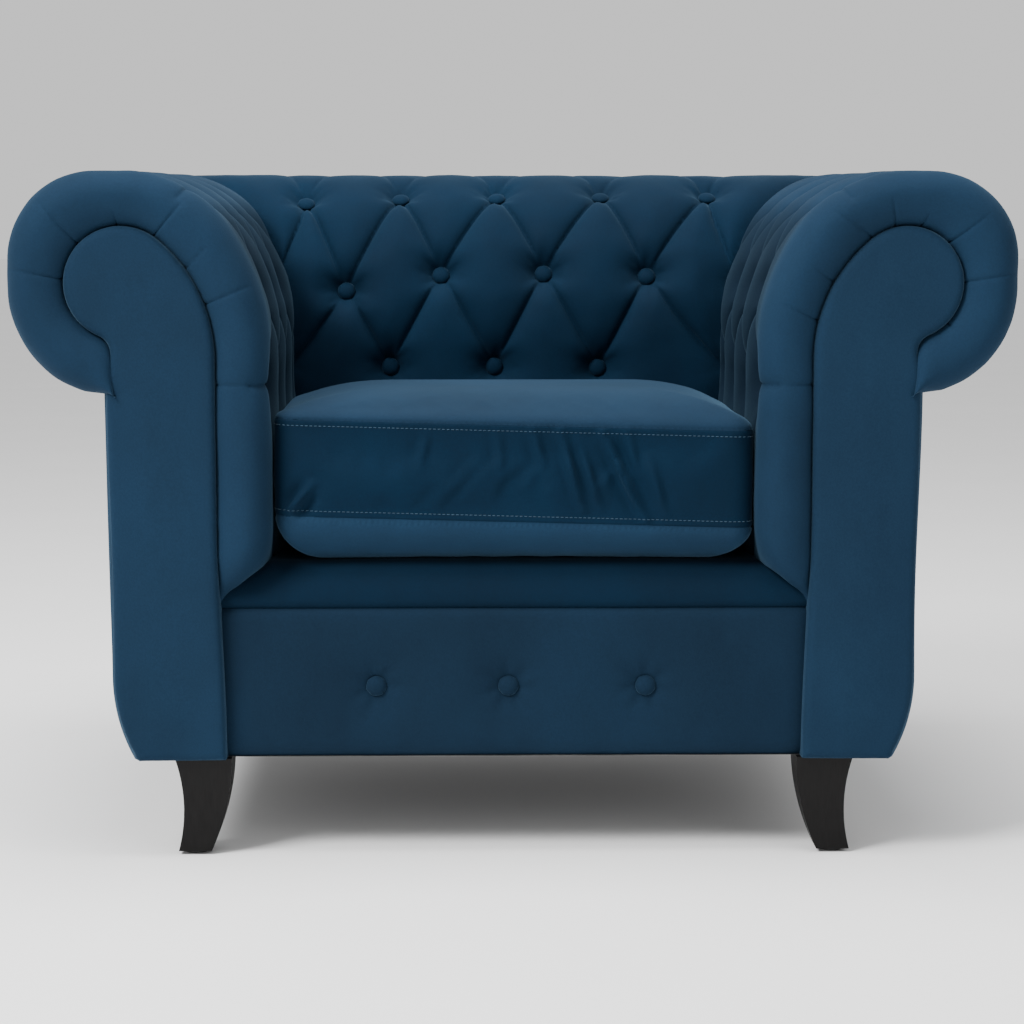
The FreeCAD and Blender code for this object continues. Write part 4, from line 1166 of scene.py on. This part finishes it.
def build_cushion():
    start, faces, seams = cushion_start()
    piece = new_piece("seat_cushion_filled", start, faces, VELVET_CLOTH, body="seat_cushion",
                      replaces=("cushion_cover", "cushion_foam"))
    # The border's darker copy of the velvet is painted shade, and the bottom panel's lighter copy is painted
    # light.
    piece.data.materials.append(VELVET_BORDER)
    piece.data.materials.append(VELVET_UNDER)
    points = start
    shift = simulate(piece) - start
    length = np.linalg.norm(shift, axis=1, keepdims=True)
    on_border = edge_distance(start[:, :2]) < 0.0015
    cap = np.where(on_border, SWELL_BORDER, SWELL_PANEL)[:, None]
    points = start + shift * np.minimum(1, cap / np.maximum(length, 1e-9)) * seam_hold(start)[:, None]
    points[:, 2] = np.clip(points[:, 2], FLOOR_Z, CROWN_Z + 0.003)
    points[:, 0] = np.clip(points[:, 0], -CUSHION_HALF - 0.001, CUSHION_HALF + 0.001)
    points[:, 1] = np.clip(points[:, 1], CUSHION_LOW.y - 0.004, CUSHION_HIGH.y - 0.0004)
    piece.data.vertices.foreach_set("co", points.ravel())
    sharp = {tuple(sorted(edge)) for edge in seams}
    crease = piece.data.attributes.new("crease_edge", "FLOAT", "EDGE")
    crease.data.foreach_set("value", [0.75 * (tuple(sorted(e.vertices)) in sharp) for e in piece.data.edges])
    modifier = piece.modifiers.new("smoother", "SUBSURF")
    modifier.levels = modifier.render_levels = 1
    dg = bpy.context.evaluated_depsgraph_get()
    fine = bpy.data.meshes.new_from_object(piece.evaluated_get(dg))
    piece.modifiers.clear()
    piece.data = fine
    p, normal = read_rows(fine.vertices, "co"), read_rows(fine.vertices, "normal")
    dip = 0.0030 * np.exp(-seam_distance(p) / 0.0020)
    front = smooth(-normal[:, 1], 0.5, 0.9)
    for x1, z1, x2, z2, amount in FOLDS:
        e, s = to_segments(p[:, [0, 2]], np.array([[[x1, z1], [x2, z2]]]))
        fold = np.exp(-((e[:, 0] / 0.0060) ** 2)) - 0.6 * np.exp(-((e[:, 0] / 0.012) ** 2))
        dip -= front * 0.0125 * amount * fold * np.sin(math.pi * np.clip(s[:, 0], 0.08, 0.92))
    p -= normal * dip[:, None]
    spread = FRONT_SPREAD * (1 - smooth(p[:, 1], CUSHION_LOW.y + 0.020, CUSHION_LOW.y + 0.090))
    level = np.clip((p[:, 2] - seam_z(p[:, 0], False)) / (TOP_SEAM - LOW_SEAM), 0, 1)
    reach = np.clip(np.abs(p[:, 0]) / CUSHION_HALF, 0, 1) ** 6
    p[:, 0] += np.sign(p[:, 0]) * spread * reach * (0.45 + 0.55 * np.sin(math.pi * level) ** 0.7)
    p[:, 2] -= rear_fall(p[:, 1]) * level
    fine.vertices.foreach_set("co", p.ravel())
    x, y, z = read_rows(fine.polygons, "center").T
    # Top panel, border and bottom panel each take their own copy: painted shade on the border, painted light
    # on the bottom panel.
    kind = np.where(z > seam_z(x, True) - rear_fall(y), 0, np.where(z > seam_z(x, False), 1, 2))
    fine.polygons.foreach_set("material_index", kind.astype(np.int32))
    fine.polygons.foreach_set("use_smooth", [True] * len(fine.polygons))
    fine.update()
    build_stitches(fine)


def seam_distance(p):
    """The distance to the nearer seam."""
    e = edge_distance(p[:, :2])
    gap = np.minimum(np.abs(p[:, 2] - seam_z(p[:, 0], True)), np.abs(p[:, 2] - seam_z(p[:, 0], False)))
    return np.hypot(np.maximum(e - 0.003, 0), gap)


def seam_hold(p):
    """How freely the cover moves: hardly at the seams."""
    return 1 - 0.85 * np.exp(-seam_distance(p) / 0.008)


STITCH_PITCH, STITCH_LENGTH, STITCH_R = 0.0052, 0.0036, 0.00042
STITCH_RINGS = ((-0.5, 0.25), (-0.4, 0.9), (0.0, 1.0), (0.4, 0.9), (0.5, 0.25))
STITCH_SIDES = 6


def build_stitches(mesh):
    """Top-stitching: a row of short threads on the border beside each seam, along the front and the sides."""
    bm = bmesh.new()
    bm.from_mesh(mesh)
    tree = BVHTree.FromBMesh(bm)
    bm.free()
    around = [(a, (a + 1) % STITCH_SIDES) for a in range(STITCH_SIDES)]
    starts = [k * STITCH_SIDES for k in range(len(STITCH_RINGS))]
    faces = [(k + a, k + b, m + b, m + a) for k, m in zip(starts[:-1], starts[1:]) for a, b in around]
    meshes = []
    for top in (True, False):
        offset = -0.0068 if top else 0.0068
        x_run = np.arange(-0.268, 0.268, STITCH_PITCH)
        ahead, sideways = Vector((0, 1, 0)), Vector((1, 0, 0))
        walk = [(Vector((x, -0.60, seam_z(x, top) + offset)), ahead, sideways) for x in x_run]
        for side in (-1, 1):
            for y in np.arange(-0.385, 0.105, STITCH_PITCH):
                z = seam_z(side * CUSHION_HIGH.x, top) + offset - rear_fall(y) * top
                walk.append((Vector((side * 0.60, y, z)), -side * sideways, ahead))
        for start, way, run in walk:
            hit, normal, _, _ = tree.ray_cast(start, way)
            if hit is None or (hit - start).length > 0.48:
                continue
            run = (run - normal * run.dot(normal)).normalized()
            across = normal.cross(run)
            ring = []
            for s, r in STITCH_RINGS:
                sink = -0.0002 if abs(s) < 0.45 else -0.0006
                centre = hit + run * (s * STITCH_LENGTH) + normal * (sink + STITCH_R * 0.6)
                for a in range(STITCH_SIDES):
                    angle = math.pi * a / 3
                    ring.append(centre + (across * math.cos(angle) + normal * math.sin(angle)) * STITCH_R * r)
            meshes.append((ring, faces))
    new_piece("seat_cushion_topstitching", *join_meshes(meshes), THREAD, body="seat_cushion")


THREAD = cloth("thread", (0.012, 0.044, 0.075), 2500.0)


# ---------------------------------------------------------------- studio
FLOOR_SIZE = 60.0
LIGHTS = (
    ("key_light", (-2.3, -2.3, 3.2), 1.5, 260.0),
    ("fill_light", (2.2, -3.0, 2.0), 2.0, 18.0),
    ("top_light", (0.0, -0.2, 3.4), 2.0, 130.0),
)
LIGHT_TARGET = (0, 0, 0.4)
CAMERA_PLACE = (-0.0568, -3.4845, 0.755)
CAMERA_TILT, CAMERA_YAW = math.radians(6.6), math.radians(-1.0)
CAMERA_SENSOR, CAMERA_LENS = 36.0, 95.7


def build_studio():
    bpy.ops.mesh.primitive_plane_add(size=FLOOR_SIZE, location=(0, 0, CAD_BOX[0].z - 0.0002))
    floor = bpy.context.object
    floor.name = "studio_floor"
    material, tree, shader = nodes_of("pale_floor")
    shade = ramp(tree, noise_node(tree, 3.0), (0.3, (0.86, 0.86, 0.86)), (0.7, (0.88, 0.88, 0.88)))
    put(shader, Base_Color=shade, Roughness=0.8)
    floor.data.materials.append(material)
    world = bpy.data.worlds.new("studio")
    bpy.context.scene.world = world
    world.use_nodes = True
    put(world.node_tree.nodes["Background"], Color=(1.0, 1.0, 1.0, 1.0), Strength=0.85)
    for name, place, size, power in LIGHTS:
        data = bpy.data.lights.new(name, "AREA")
        data.size = size
        data.energy = power
        light = bpy.data.objects.new(name, data)
        light.location = place
        light.rotation_euler = (Vector(LIGHT_TARGET) - Vector(place)).to_track_quat("-Z", "Y").to_euler()
        bpy.context.scene.collection.objects.link(light)


def build_camera():
    """The viewing angle: level with the arms' tops, from about three metres, tilted a little down."""
    data = bpy.data.cameras.new("camera")
    data.sensor_width = CAMERA_SENSOR
    data.lens = CAMERA_LENS
    camera = bpy.data.objects.new("camera", data)
    camera.location = CAMERA_PLACE
    level = math.cos(CAMERA_TILT)
    way = Vector((-math.sin(CAMERA_YAW) * level, math.cos(CAMERA_YAW) * level, -math.sin(CAMERA_TILT)))
    camera.rotation_euler = way.to_track_quat("-Z", "Y").to_euler()
    bpy.context.scene.collection.objects.link(camera)
    bpy.context.scene.camera = camera


build_camera()
build_studio()
dress_cad_nodes()
build_back()
for arm in ("left", "right"):
    build_arm(arm)
    build_facing(arm)
    build_outside(arm)
build_outside("back")
build_apron()
build_deck()
build_dust_cover()
build_cushion()
